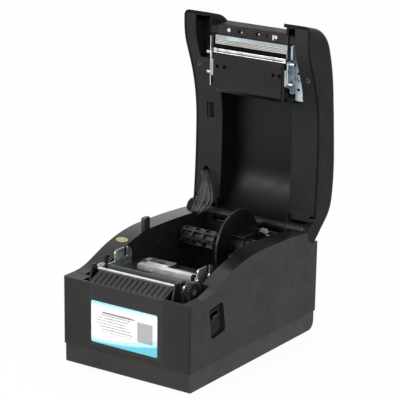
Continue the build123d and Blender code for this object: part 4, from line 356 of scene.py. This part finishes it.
def seal_print(name, centre, half_x, half_y, paper, ring):
    """Small printed seal: concentric rings on tinted paper."""
    material, tree, surface = new_material(name)
    place = place_of(tree)
    run = calculate(tree, "DIVIDE", calculate(tree, "SUBTRACT", place["X"], centre.x), half_x)
    rise = calculate(tree, "DIVIDE", calculate(tree, "SUBTRACT", place["Y"], centre.y), half_y)
    run_squared = calculate(tree, "MULTIPLY", run, run)
    rise_squared = calculate(tree, "MULTIPLY", rise, rise)
    away = calculate(tree, "SQRT", calculate(tree, "ADD", run_squared, rise_squared))
    grain = spread(tree, object_noise(tree, scale=700, detail=4), 0, 1)
    colour = two_colours(tree, grain, paper, tuple(value * 1.25 for value in paper))
    for band, blur in (((0.60, 0.78), 0.03), ((0.26, 0.42), 0.05)):
        colour = two_colours(tree, between(tree, away, band, blur), colour, ring)
    tree.links.new(colour, surface.inputs["Base Color"])
    gloss = spread(tree, object_noise(tree, scale=120, detail=4), 0.25, 0.4)
    tree.links.new(gloss, surface.inputs["Roughness"])
    add_bump(tree, surface, object_noise(tree, scale=900, detail=3), strength=0.1, distance=0.00003)
    return material


# Blacks of the case: body, shell, liner and panel, with painted light on the inner walls up to the hinge
# barrel and painted shade in the liner's recess
case_dark = (0.0098, 0.0106, 0.0086)
case_light = (0.0158, 0.0167, 0.0140)
no_limit = 1.0
barrel_front = (front_y + hinge_depth - 9.0) / 1000
# Inner walls of the housing up to the hinge barrel: a lighter colour, painted light
housing_painted_light = ((half_width - 1.2) / 1000, barrel_front, (0.0170, 0.0180, 0.0186), 0.34)
# The liner's recess: a darker, bluish colour, painted shade
recess_painted_shade = (0.0427, no_limit, (0.0038, 0.0048, 0.0056), 0.42)
case_plastic = moulded_plastic(
    "case_plastic", case_dark, case_light, 0.46, shine=0.27, edge_wear_and_highlight=grey(0.05)
)
tray_plastic = moulded_plastic(
    "tray_plastic", case_dark, case_light, 0.44, shine=0.38, edge_wear_and_highlight=grey(0.05)
)
housing_plastic = moulded_plastic(
    "housing_plastic", case_dark, case_light, 0.46, shine=0.26, edge_wear_and_highlight=grey(0.05),
    painted_inside=housing_painted_light, top_gloss=0.13
)
shell_plastic = moulded_plastic(
    "shell_plastic", (0.0042, 0.0042, 0.0041), (0.0080, 0.0080, 0.0078), 0.44, shine=0.09, edge_wear_and_highlight=grey(0.03)
)
liner_plastic = moulded_plastic(
    "liner_plastic", (0.0086, 0.0090, 0.0092), (0.0142, 0.0147, 0.0150), 0.40, shine=0.22,
    edge_wear_and_highlight=(0.045, 0.046, 0.048), painted_inside=recess_painted_shade
)
panel_plastic = moulded_plastic(
    "panel_plastic", (0.0120, 0.0118, 0.0117), (0.0180, 0.0177, 0.0176), 0.48, shine=0.32, edge_wear_and_highlight=grey(0.09)
)

# Plastics of the smaller pieces
smooth_plastic = moulded_plastic(
    "smooth_plastic", (0.0048, 0.0048, 0.0050), (0.0090, 0.0090, 0.0094), 0.30, shine=0.28,
    grain=1200, relief=0.00002, edge_wear_and_highlight=(0.05, 0.05, 0.053)
)
# The spool's near-white edge colour is a painted highlight along the rims of its rings and fins
spool_plastic = moulded_plastic(
    "spool_plastic", (0.0045, 0.0047, 0.0050), (0.0090, 0.0094, 0.0100), 0.38, shine=0.30,
    grain=1500, relief=0.00003, edge_wear_and_highlight=(0.78, 0.79, 0.80), softness=0.0004
)
# Near-black rocker and frame: partly their own black, partly painted shade for the switch's well
rocker_black = moulded_plastic(
    "rocker_black", (0.0020, 0.0021, 0.0021), (0.0040, 0.0041, 0.0041), 0.34, shine=0.10,
    grain=1200, relief=0.00002, edge_wear_and_highlight=(0.03, 0.03, 0.031)
)
post_plastic = moulded_plastic(
    "post_plastic", (0.018, 0.018, 0.019), (0.03, 0.03, 0.032), 0.25, grain=1500
)
# Much lighter than the case: painted light that brightens the shaded inside of the pocket
pocket_painted_light = moulded_plastic("pocket_painted_light", (0.070, 0.072, 0.072), (0.095, 0.098, 0.098), 0.45)
gear_plastic = moulded_plastic(
    "gear_plastic", (0.012, 0.012, 0.013), (0.024, 0.024, 0.026), 0.30, shine=0.40,
    grain=1400, relief=0.00002, edge_wear_and_highlight=(0.15, 0.15, 0.155)
)
sensor_plastic = moulded_plastic(
    "sensor_plastic", (0.030, 0.031, 0.033), (0.050, 0.052, 0.055), 0.30,
    grain=1600, relief=0.00003, edge_wear_and_highlight=(0.20, 0.20, 0.21)
)
lens_plastic = moulded_plastic("lens_plastic", (0.10, 0.11, 0.12), (0.16, 0.17, 0.18), 0.12, grain=700)
white_plastic = moulded_plastic(
    "white_plastic", (0.70, 0.70, 0.68), (0.84, 0.84, 0.82), 0.30, grain=1400, relief=0.00002
)

# Rubber, wire, board, ceramic, print, and black painted as shade in holes
foot_rubber = moulded_plastic("foot_rubber", grey(0.012), (0.03, 0.029, 0.028), 0.75, grain=1800)
roller_rubber = moulded_plastic(
    "roller_rubber", grey(0.018), grey(0.028), 0.26, shine=0.30, grain=3200, relief=0.00004
)
wire_sleeve = moulded_plastic(
    "wire_sleeve", (0.006, 0.007, 0.008), (0.070, 0.075, 0.080), 0.24, grain=700, relief=0.00004
)
board_lacquer = moulded_plastic(
    "board_lacquer", (0.009, 0.0050, 0.0075), (0.020, 0.011, 0.0155), 0.20, shine=0.36,
    grain=900, relief=0.00004
)
ceramic = moulded_plastic(
    "ceramic", (0.46, 0.46, 0.42), (0.66, 0.66, 0.61), 0.22, grain=900, relief=0.00001
)
glaze = moulded_plastic(
    "glaze", grey(0.0015), grey(0.003), 0.6, shine=0.05, grain=900, relief=0.00001
)
dark_print = moulded_plastic(
    "dark_print", grey(0.020), (0.045, 0.045, 0.042), 0.3, grain=900, relief=0.00001
)
# Black painted as shade inside holes and recesses
painted_hole_shade = moulded_plastic("painted_hole_shade", grey(0.0008), grey(0.0016), 0.85, shine=0.05, grain=2000)

# Metals; a stretch draws the grain out along X
long_grain = (0.05, 1, 1)
zinc = metal("zinc", (0.38, 0.44, 0.50), (0.63, 0.69, 0.74), 0.30, tint=(0.30, 0.34, 0.33))
steel = metal("steel", (0.60, 0.60, 0.60), (0.82, 0.82, 0.81), 0.25, stretch=(1, 40, 40))
strip_steel = metal(
    "strip_steel", (0.45, 0.45, 0.44), (0.84, 0.84, 0.82), 0.24, stretch=long_grain, grain=240
)
bright_steel = metal("bright_steel", (0.74, 0.72, 0.66), (0.94, 0.92, 0.86), 0.18, stretch=long_grain)
rail_metal = metal("rail_metal", (0.60, 0.61, 0.60), (0.84, 0.85, 0.83), 0.34, stretch=long_grain)
screw_metal = metal("screw_metal", (0.045, 0.045, 0.046), (0.12, 0.12, 0.12), 0.35)

# What each node of the solids is made of
finish = {
    "base_tray": tray_plastic,
    "rubber_feet": foot_rubber,
    "case_screws": screw_metal,
    "main_housing": housing_plastic,
    "front_bezel": case_plastic,
    "front_panel": panel_plastic,
    "tear_bar_holder": smooth_plastic,
    "tear_bar": bright_steel,
    "platen_bushes": smooth_plastic,
    "bush_clip": white_plastic,
    "right_side_plate": zinc,
    "left_side_plate": zinc,
    "stepper_motor": steel,
    "idler_stud": steel,
    "paper_guide": smooth_plastic,
    "media_bed": smooth_plastic,
    "sensor_rail": rail_metal,
    "guide_post": post_plastic,
    "spindle_shaft": smooth_plastic,
    "spindle_holders": smooth_plastic,
    "mainboard": board_lacquer,
    "power_socket": smooth_plastic,
    "usb_socket": steel,
    "switch_frame": rocker_black,
    "hinge_pin": steel,
    "hinge_washers": screw_metal,
    "cover_shell": shell_plastic,
    "cover_liner": liner_plastic,
    "liner_screws": screw_metal,
    "sensor_board": board_lacquer,
    "board_screws": steel,
    "head_bracket": zinc,
    "indicator_lens": lens_plastic,
    "printhead": zinc,
    "head_ceramic": ceramic,
    "head_cover": smooth_plastic,
    "platen_shaft": steel,
    "platen_roller": roller_rubber,
    "platen_gear": gear_plastic,
    "idler_gear": gear_plastic,
    "motor_pinion": steel,
    "latch": smooth_plastic,
    "media_sensor": sensor_plastic,
    "spool_core": spool_plastic,
    "flange_disc": spool_plastic,
    "flange_lock": smooth_plastic,
    "feed_button": smooth_plastic,
    "power_rocker": rocker_black,
}
for name, material in finish.items():
    slots = nodes[name].data.materials
    slots.clear()
    slots.append(material)


# Mesh helpers; points and pushes are in metres, roundings, radii and profiles in millimetres

def add_slab(shape, outline, push, rounding):
    """Adds a flat outline pushed through its thickness, with rounded edges."""
    push = Vector(push)
    near = [shape.verts.new(point) for point in outline]
    far = [shape.verts.new(Vector(point) + push) for point in outline]
    count = len(outline)
    faces = [shape.faces.new(near), shape.faces.new(list(reversed(far)))]
    for corner in range(count):
        after = (corner + 1) % count
        faces.append(shape.faces.new((near[after], near[corner], far[corner], far[after])))
    bmesh.ops.recalc_face_normals(shape, faces=faces)
    edges = list({edge for face in faces for edge in face.edges})
    bmesh.ops.bevel(shape, geom=edges, offset=rounding / 1000, segments=2, profile=0.5, affect="EDGES")


def add_level_slab(shape, place, sides, height, thickness, rounding):
    """Adds a level slab from its left, right, near and far sides; place is at or on_cover."""
    left, right, near, far = sides
    plan = ((left, near), (right, near), (right, far), (left, far))
    lift = place(0, 0, 1) - place(0, 0, 0)
    add_slab(shape, [place(x, depth, height) for x, depth in plan], lift * thickness, rounding)


def add_turned(shape, centre, axis, profile, steps=24):
    """Adds a turned form from (distance along the axis, radius) points."""
    axis = Vector(axis).normalized()
    outward = axis.orthogonal().normalized()
    across = axis.cross(outward)
    angles = [2 * pi * step / steps for step in range(steps)]
    spokes = [outward * cos(angle) + across * sin(angle) for angle in angles]
    rings = []
    for along, radius in profile:
        middle = Vector(centre) + axis * along / 1000
        rings.append([shape.verts.new(middle + spoke * radius / 1000) for spoke in spokes])
    faces = [shape.faces.new(list(reversed(rings[0]))), shape.faces.new(rings[-1])]
    for low, high in zip(rings, rings[1:]):
        for step in range(steps):
            after = (step + 1) % steps
            face = shape.faces.new((low[step], low[after], high[after], high[step]))
            face.smooth = True
            faces.append(face)
    bmesh.ops.recalc_face_normals(shape, faces=faces)


def add_wire(shape, points, radius):
    """Adds a round wire along a smooth curve through control points."""
    curve = bpy.data.curves.new("path", "CURVE")
    curve.dimensions = "3D"
    spline = curve.splines.new("NURBS")
    spline.points.add(len(points) - 1)
    for control, point in zip(spline.points, points):
        control.co = (*point, 1)
    spline.order_u = 3
    spline.use_endpoint_u = True
    spline.resolution_u = 5
    curve.bevel_depth = radius / 1000
    curve.bevel_resolution = 2
    curve.use_fill_caps = True
    holder = bpy.data.objects.new("path", curve)
    tube = bpy.data.meshes.new_from_object(holder)
    shape.from_mesh(tube)
    bpy.data.meshes.remove(tube)
    bpy.data.objects.remove(holder)
    bpy.data.curves.remove(curve)


def make_piece(name, shape, material, body=None):
    """Turns the mesh into an object that takes a material and, where one is given, a body."""
    mesh = bpy.data.meshes.new(name)
    shape.to_mesh(mesh)
    shape.free()
    mesh.materials.append(material)
    piece = bpy.data.objects.new(name, mesh)
    bpy.context.scene.collection.objects.link(piece)
    if body is not None:
        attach(piece, body)
    return piece


def make_slabs(name, place, slabs, material, body):
    """Makes a piece of level slabs, each given as its sides, height, thickness and rounding."""
    shape = bmesh.new()
    for sides, height, thickness, rounding in slabs:
        add_level_slab(shape, place, sides, height, thickness, rounding)
    make_piece(name, shape, material, body)


def rounded_rectangle(left, right, low, high, radius, steps=5):
    """Outline of a rectangle with round corners, as pairs."""
    corners = [
        (right - radius, high - radius, 0), (left + radius, high - radius, 90),
        (left + radius, low + radius, 180), (right - radius, low + radius, 270),
    ]
    outline = []
    for across, upward, start in corners:
        for step in range(steps + 1):
            angle = radians(start + 90 * step / steps)
            outline.append((across + radius * cos(angle), upward + radius * sin(angle)))
    return outline


# Label on the front panel, in its shallow recess

label_width = 79.0
label_height = 43.0
label_shift = -1.9
label_left = label_shift - label_width / 2
label_right = label_shift + label_width / 2
label_low = 28.4
label_high = label_low + label_height
label_gap = 0.3
label_corner = 1.6
label_front = 0.12
label_back = 0.40
label_material = label_stock(
    "label_stock", label_left / 1000, label_right / 1000,
    (stand + label_low) / 1000, (stand + label_high) / 1000
)
label_outline = rounded_rectangle(
    label_left + label_gap, label_right - label_gap,
    label_low + label_gap, label_high - label_gap, label_corner
)
shape = bmesh.new()
add_slab(
    shape, [at(x, label_back, height) for x, height in label_outline],
    backwards * (label_front - label_back), 0.05
)
make_piece("front_label", shape, label_material, "base")


# Round seal on the sloping left deck

seal_x = -63.7
seal_depth = 80.0
seal_half_x = 6.8
seal_half_depth = 4.1
seal_thickness = 0.22
seal_steps = 36
seal_material = seal_print(
    "seal_print", at(seal_x, seal_depth, rim_height), seal_half_x / 1000, seal_half_depth / 1000,
    (0.47, 0.46, 0.20), (0.11, 0.10, 0.04)
)
seal_before_crest = crest_depth - seal_depth
seal_height = crest_height - crest_radius + sqrt(crest_radius ** 2 - seal_before_crest ** 2)
seal_slope = seal_before_crest / crest_radius
seal_outline = []
for step in range(seal_steps):
    angle = 2 * pi * step / seal_steps
    beyond = seal_half_depth * sin(angle)
    seal_outline.append(
        at(seal_x + seal_half_x * cos(angle), seal_depth + beyond, seal_height + beyond * seal_slope)
    )
shape = bmesh.new()
add_slab(shape, seal_outline, base_lift * seal_thickness, 0.04)
make_piece("deck_seal", shape, seal_material, "base")


# Wires from the base to the cover: bunched in both holes and fanned between them

harness_x = 14.0 - half_width
harness_base_depth = hinge_depth - 20.5
harness_cover_height = 147.5
wire_count = 15
wire_radius = 0.55
hole_spread = 2.1
row_gap = 0.9

# Left side and width of the fan, low, midway and high up
fan_low = (-60.5, 13.0)
fan_middle = (-58.5, 21.0)
fan_high = (-55.0, 9.0)
shape = bmesh.new()
shuffle = random.Random(7)
for wire in range(wire_count):
    share = wire / (wire_count - 1)
    row = (wire % 3 - 1) * row_gap
    end_x = harness_x + (2 * share - 1) * hole_spread
    low_x, middle_x, high_x = (left + share * width for left, width in (fan_low, fan_middle, fan_high))
    wander = shuffle.uniform(-0.9, 0.9)
    bow = shuffle.uniform(-1.0, 1.0)
    wire_depth = harness_base_depth + row
    cover_height = harness_cover_height + row * 0.8
    add_wire(
        shape,
        [
            at(end_x, wire_depth, 96.5),
            at(end_x + share, wire_depth, 101.5),
            at(low_x, wire_depth - 0.5 + bow, 108.0),
            at(middle_x + wander, wire_depth + 6.0 + bow, 119.0),
            at(high_x, wire_depth + 13.0 + bow, 135.0),
            at(end_x + 4.0, wire_depth + 18.5, harness_cover_height - 3.0),
            at(end_x, 224.0, cover_height),
            at(end_x, 230.0, cover_height),
        ],
        wire_radius,
    )
for face in shape.faces:
    face.smooth = True
harness = make_piece("harness_wires", shape, wire_sleeve)
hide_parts("wire_harness")
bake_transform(harness)


# Print head: lines on the ceramic, black glaze, steel strip with its two ends, black dimples painted as
# shade for the round wells, and the ends of the black cover

ceramic_half = 42.2
ceramic_face = 97.9
ceramic_line_width = 0.5
make_slabs(
    "ceramic_lines", on_cover,
    [
        ((-ceramic_half, ceramic_half, near, near + ceramic_line_width), ceramic_face - 0.1, 0.12, 0.03)
        for near in (31.8, 33.3, 34.9)
    ],
    dark_print, "head",
)
make_slabs(
    "driver_glaze", on_cover, [((-ceramic_half, ceramic_half, 36.4, 41.1), 97.4, 1.2, 0.2)],
    glaze, "head",
)

strip_half = 43.2
strip_end = 39.0
make_slabs(
    "head_strip", on_cover,
    [
        ((-strip_half, strip_half, 41.2, 43.7), 96.9, 1.4, 0.3),
        ((-strip_half, strip_half, 44.4, 45.3), 95.2, 2.0, 0.3),
        ((-strip_half, -strip_end, 40.8, 44.6), 95.8, 1.6, 0.3),
        ((strip_end, strip_half, 40.8, 44.6), 95.8, 1.6, 0.3),
    ],
    strip_steel, "head",
)

head_cover_face = 93.0
well_depth = 58.5
well_profile = [(0.0, 2.0), (0.35, 2.0), (0.4, 1.6), (0.2, 0.2)]
shape = bmesh.new()
for x in (-36.8, -28.0, 30.5, 37.6):
    add_turned(shape, on_cover(x, well_depth, head_cover_face + 0.2), -cover_lift, well_profile)
# Black dimples: painted shade for the wells in the head cover
make_piece("head_cover_well_shade", shape, painted_hole_shade, "head")
make_slabs(
    "head_cover_ends", on_cover,
    [((left, left + 2.4, 47.0, 84.5), 94.0, 9.5, 0.4) for left in (-42.4, 40.0)],
    smooth_plastic, "head",
)


# Stepped zinc flange at the right of the print head: face, upright wall, two lips, ridges, rivets and the
# two pins behind it, with black slabs painted as shade for the wells in its face, and the steel edge at
# the left of the head

flange_height = 107.0
flange_steps = [
    (46.7, 27.6), (51.2, 27.6), (51.2, 44.0), (52.8, 46.0), (54.6, 46.0), (54.6, 52.0), (53.4, 53.0),
    (53.4, 58.0), (54.6, 59.0), (54.6, 65.0), (56.9, 66.5), (56.9, 84.6), (50.2, 84.6), (50.2, 79.0),
    (46.7, 77.0),
]
flange_wall_x = 46.7
flange_wall = [
    (27.6, 107.0), (27.6, 102.5), (42.0, 101.2), (44.0, 102.8),
    (62.0, 102.8), (64.0, 101.2), (77.0, 101.2), (77.0, 107.0),
]
flange_rivet = [(0.0, 1.4), (0.6, 1.4), (0.9, 1.0)]
flange_pin = [(0.0, 1.5), (4.2, 1.5)]
shape = bmesh.new()
add_slab(shape, [on_cover(x, depth, flange_height) for x, depth in flange_steps], cover_lift * 1.2, 0.2)
add_slab(
    shape, [on_cover(flange_wall_x, depth, height) for depth, height in flange_wall], sideways * 1.3, 0.2
)
for near, far in ((28.2, 42.6), (63.4, 76.4)):
    add_level_slab(shape, on_cover, (45.4, 48.0, near, far), 101.2, 1.0, 0.2)
for near, length in ((30.5, 12.0), (49.0, 2.2), (61.5, 2.2), (69.5, 11.5)):
    add_level_slab(shape, on_cover, (49.0, 50.3, near, near + length), 106.3, 0.8, 0.2)
for x, depth in ((48.6, 50.5), (54.0, 75.0), (54.0, 81.0)):
    add_turned(shape, on_cover(x, depth, flange_height + 0.1), -cover_lift, flange_rivet)
for depth in (33.0, 76.0):
    add_turned(shape, on_cover(50.3, depth, flange_height + 1.0), cover_lift, flange_pin)
make_piece("head_flange", shape, zinc, "cover")
# Black slabs: painted shade for the wells in the flange's face
make_slabs(
    "flange_well_shade", on_cover, [((51.0, 53.2, near, near + 2.4), 106.1, 1.0, 0.2) for near in (55.2, 71.8)],
    painted_hole_shade, "cover",
)
make_slabs(
    "head_edge", on_cover, [((-47.9, -46.9, 29.0, 80.5), 96.4, 4.0, 0.3)],
    bright_steel, "cover",
)


# Parts on the indicator board

board_face = 100.3
make_slabs(
    "board_lamps", on_cover,
    [
        (sides, board_face - 0.8, 0.85, 0.15)
        for sides in ((24.6, 26.0, 19.6, 24.6), (-12.5, -11.3, 21.0, 22.4), (8.0, 9.2, 20.4, 21.8))
    ],
    white_plastic, "cover",
)
make_slabs(
    "board_chips", on_cover,
    [
        (sides, board_face - 0.9, 0.95, 0.2)
        for sides in ((-22.0, -16.0, 20.4, 23.8), (0.5, 5.5, 20.0, 23.6), (13.0, 17.5, 20.6, 23.2))
    ],
    smooth_plastic, "cover",
)


# Pocket for the guide post, lighter than the case as painted light, and black crosses painted as shade for
# the recesses in the heads of the liner screws

pocket_left = -61.4
pocket_right = -53.0
pocket_front = 102.4
pocket_rear = 120.8
pocket_mouth = 113.6
pocket_floor = 123.6
pocket_wall = 0.4
pocket_room = (pocket_left, pocket_right, pocket_front, pocket_rear)
pocket_sides = [
    (pocket_left, pocket_left + pocket_wall, pocket_front, pocket_rear),
    (pocket_right - pocket_wall, pocket_right, pocket_front, pocket_rear),
    (pocket_left, pocket_right, pocket_front, pocket_front + pocket_wall),
    (pocket_left, pocket_right, pocket_rear - pocket_wall, pocket_rear),
]
# The pocket's light colour is painted light over its shaded inside
make_slabs(
    "post_pocket", on_cover,
    [(pocket_room, pocket_floor, 0.25, 0.05)]
    + [(sides, pocket_mouth, pocket_floor - pocket_mouth + 0.1, 0.05) for sides in pocket_sides],
    pocket_painted_light, "cover",
)

screw_x = half_width - 9.5
cross_long = 1.7
cross_short = 0.4
# Black crosses: painted shade for the recesses in the screw heads
make_slabs(
    "screw_recess_shade", on_cover,
    [
        ((x - half_x, x + half_x, depth - half_depth, depth + half_depth), face - 0.08, 0.2, 0.03)
        for depth, face in ((60.5, 102.1), (181.0, 110.7))
        for x in (-screw_x, screw_x)
        for half_x, half_depth in ((cross_long, cross_short), (cross_short, cross_long))
    ],
    painted_hole_shade, "cover",
)


# Cover strips down to the hinge, and the ribs on the left hinge ear

tail_inner = 44.6
tail_outer = 67.4
tail_low = 108.95
tail_fall = 0.7
tail_thickness = 2.4
tail_outline = [
    (202.2, tail_low), (209.2, tail_low - tail_fall),
    (209.2, tail_low - tail_fall + tail_thickness), (202.2, tail_low + tail_thickness),
]
shape = bmesh.new()
for left in (-tail_outer, tail_inner):
    outline = [on_cover(left, depth, height) for depth, height in tail_outline]
    add_slab(shape, outline, sideways * (tail_outer - tail_inner), 0.3)
make_piece("liner_tails", shape, liner_plastic, "cover")

ear_face = half_width - 7.0
ear_rib_count = 30
ear_rib_inner = 7.7
ear_rib_outer = 9.7
ear_rib_half = 0.28
ear_hub = at(-ear_face, hinge_depth, hinge_height)
shape = bmesh.new()
for rib in range(ear_rib_count):
    angle = 2 * pi * rib / ear_rib_count
    along = Vector((0, cos(angle), sin(angle))) / 1000
    half = Vector((0, -sin(angle), cos(angle))) / 1000 * ear_rib_half
    inner = ear_hub + along * ear_rib_inner
    outer = ear_hub + along * ear_rib_outer
    add_slab(shape, [inner - half, outer - half, outer + half, inner + half], sideways * 0.45, 0.08)
# The ribs take the spool plastic, so their near-white edges are a painted highlight
make_piece("ear_ribs", shape, spool_plastic, "cover")


# White piece standing in for a bright spot at the back of the bin, and bright strips on the sliding sensor

clip_rear = 209.8
clip_outline = [(15.6, 97.4), (18.2, 101.6), (24.6, 101.6), (26.6, 98.0), (24.2, 96.0)]
shape = bmesh.new()
add_slab(shape, [at(x, clip_rear, height) for x, height in clip_outline], backwards * -1.0, 0.2)
add_level_slab(shape, at, (23.0, 28.0, clip_rear - 0.9, clip_rear), 94.4, 1.2, 0.2)
make_piece("bin_white_piece", shape, white_plastic, "base")
make_slabs(
    "sensor_tape", at,
    [(sides, 90.15, 0.25, 0.1) for sides in ((-31.5, -6.5, 77.0, 80.4), (-38.0, -33.0, 84.0, 90.5))],
    rail_metal, "sensor",
)


# Floor and surroundings

floor_reach = 6.0
floor_grey = 0.88
floor_whiteness = 0.96
room_strength = 0.46
seen_strength = 1.0


def seen(tree):
    """One where a thing is seen, also in a mirror or through glass, and zero where it only gives light."""
    path = tree.nodes.new("ShaderNodeLightPath")
    rays = [path.outputs[f"Is {kind} Ray"] for kind in ("Camera", "Glossy", "Transmission")]
    return calculate(tree, "MAXIMUM", rays[0], calculate(tree, "MAXIMUM", rays[1], rays[2]))


def mix_shaders(tree, factor, first, second):
    """Mixes two shaders by a factor."""
    mix = tree.nodes.new("ShaderNodeMixShader")
    tree.links.new(factor, mix.inputs["Fac"])
    tree.links.new(first, mix.inputs[1])
    tree.links.new(second, mix.inputs[2])
    return mix.outputs["Shader"]


def floor_white(name):
    """Matt white that looks white and keeps a little of its shadow."""
    material = bpy.data.materials.new(name)
    material.use_nodes = True
    tree = material.node_tree
    tree.nodes.clear()
    output = tree.nodes.new("ShaderNodeOutputMaterial")
    diffuse = tree.nodes.new("ShaderNodeBsdfDiffuse")
    diffuse.inputs["Color"].default_value = (*grey(floor_grey), 1)
    glow = tree.nodes.new("ShaderNodeEmission")
    glow.inputs["Color"].default_value = (*grey(1), 1)
    whiteness = calculate(tree, "MULTIPLY", seen(tree), floor_whiteness)
    mixed = mix_shaders(tree, whiteness, diffuse.outputs["BSDF"], glow.outputs["Emission"])
    tree.links.new(mixed, output.inputs["Surface"])
    return material


def plain_light(tree, strength):
    """White light of the world."""
    background = tree.nodes.new("ShaderNodeBackground")
    background.inputs["Color"].default_value = (*grey(1), 1)
    background.inputs["Strength"].default_value = strength
    return background.outputs["Background"]


floor_mesh = bpy.data.meshes.new("floor")
floor_corners = [(x * floor_reach, y * floor_reach, 0) for x, y in ((-1, -1), (1, -1), (1, 1), (-1, 1))]
floor_mesh.from_pydata(floor_corners, [], [(0, 1, 2, 3)])
floor = bpy.data.objects.new("floor", floor_mesh)
bpy.context.scene.collection.objects.link(floor)
floor_mesh.materials.append(floor_white("floor_white"))

# The world lights the object softly, and looks white where it is seen
world = bpy.data.worlds.new("studio")
bpy.context.scene.world = world
world.use_nodes = True
tree = world.node_tree
tree.nodes.clear()
world_output = tree.nodes.new("ShaderNodeOutputWorld")
lights = mix_shaders(tree, seen(tree), plain_light(tree, room_strength), plain_light(tree, seen_strength))
tree.links.new(lights, world_output.inputs["Surface"])


# Lights

def soft_light(name, place, target, size, power):
    """Square softbox that points at a target."""
    data = bpy.data.lights.new(name, "AREA")
    data.shape = "SQUARE"
    data.size = size
    data.energy = power
    lamp = bpy.data.objects.new(name, data)
    bpy.context.scene.collection.objects.link(lamp)
    lamp.location = place
    lamp.rotation_euler = (Vector(target) - Vector(place)).to_track_quat("-Z", "Y").to_euler()


soft_light("key", (-0.7, -1.7, 0.95), (0, 0, 0.1), size=1.0, power=22)
soft_light("fill", (1.6, -0.9, 0.9), (0, 0, 0.1), size=1.4, power=7)
soft_light("top", (-0.2, 0.6, 1.9), (0, 0.05, 0.1), size=1.2, power=16)
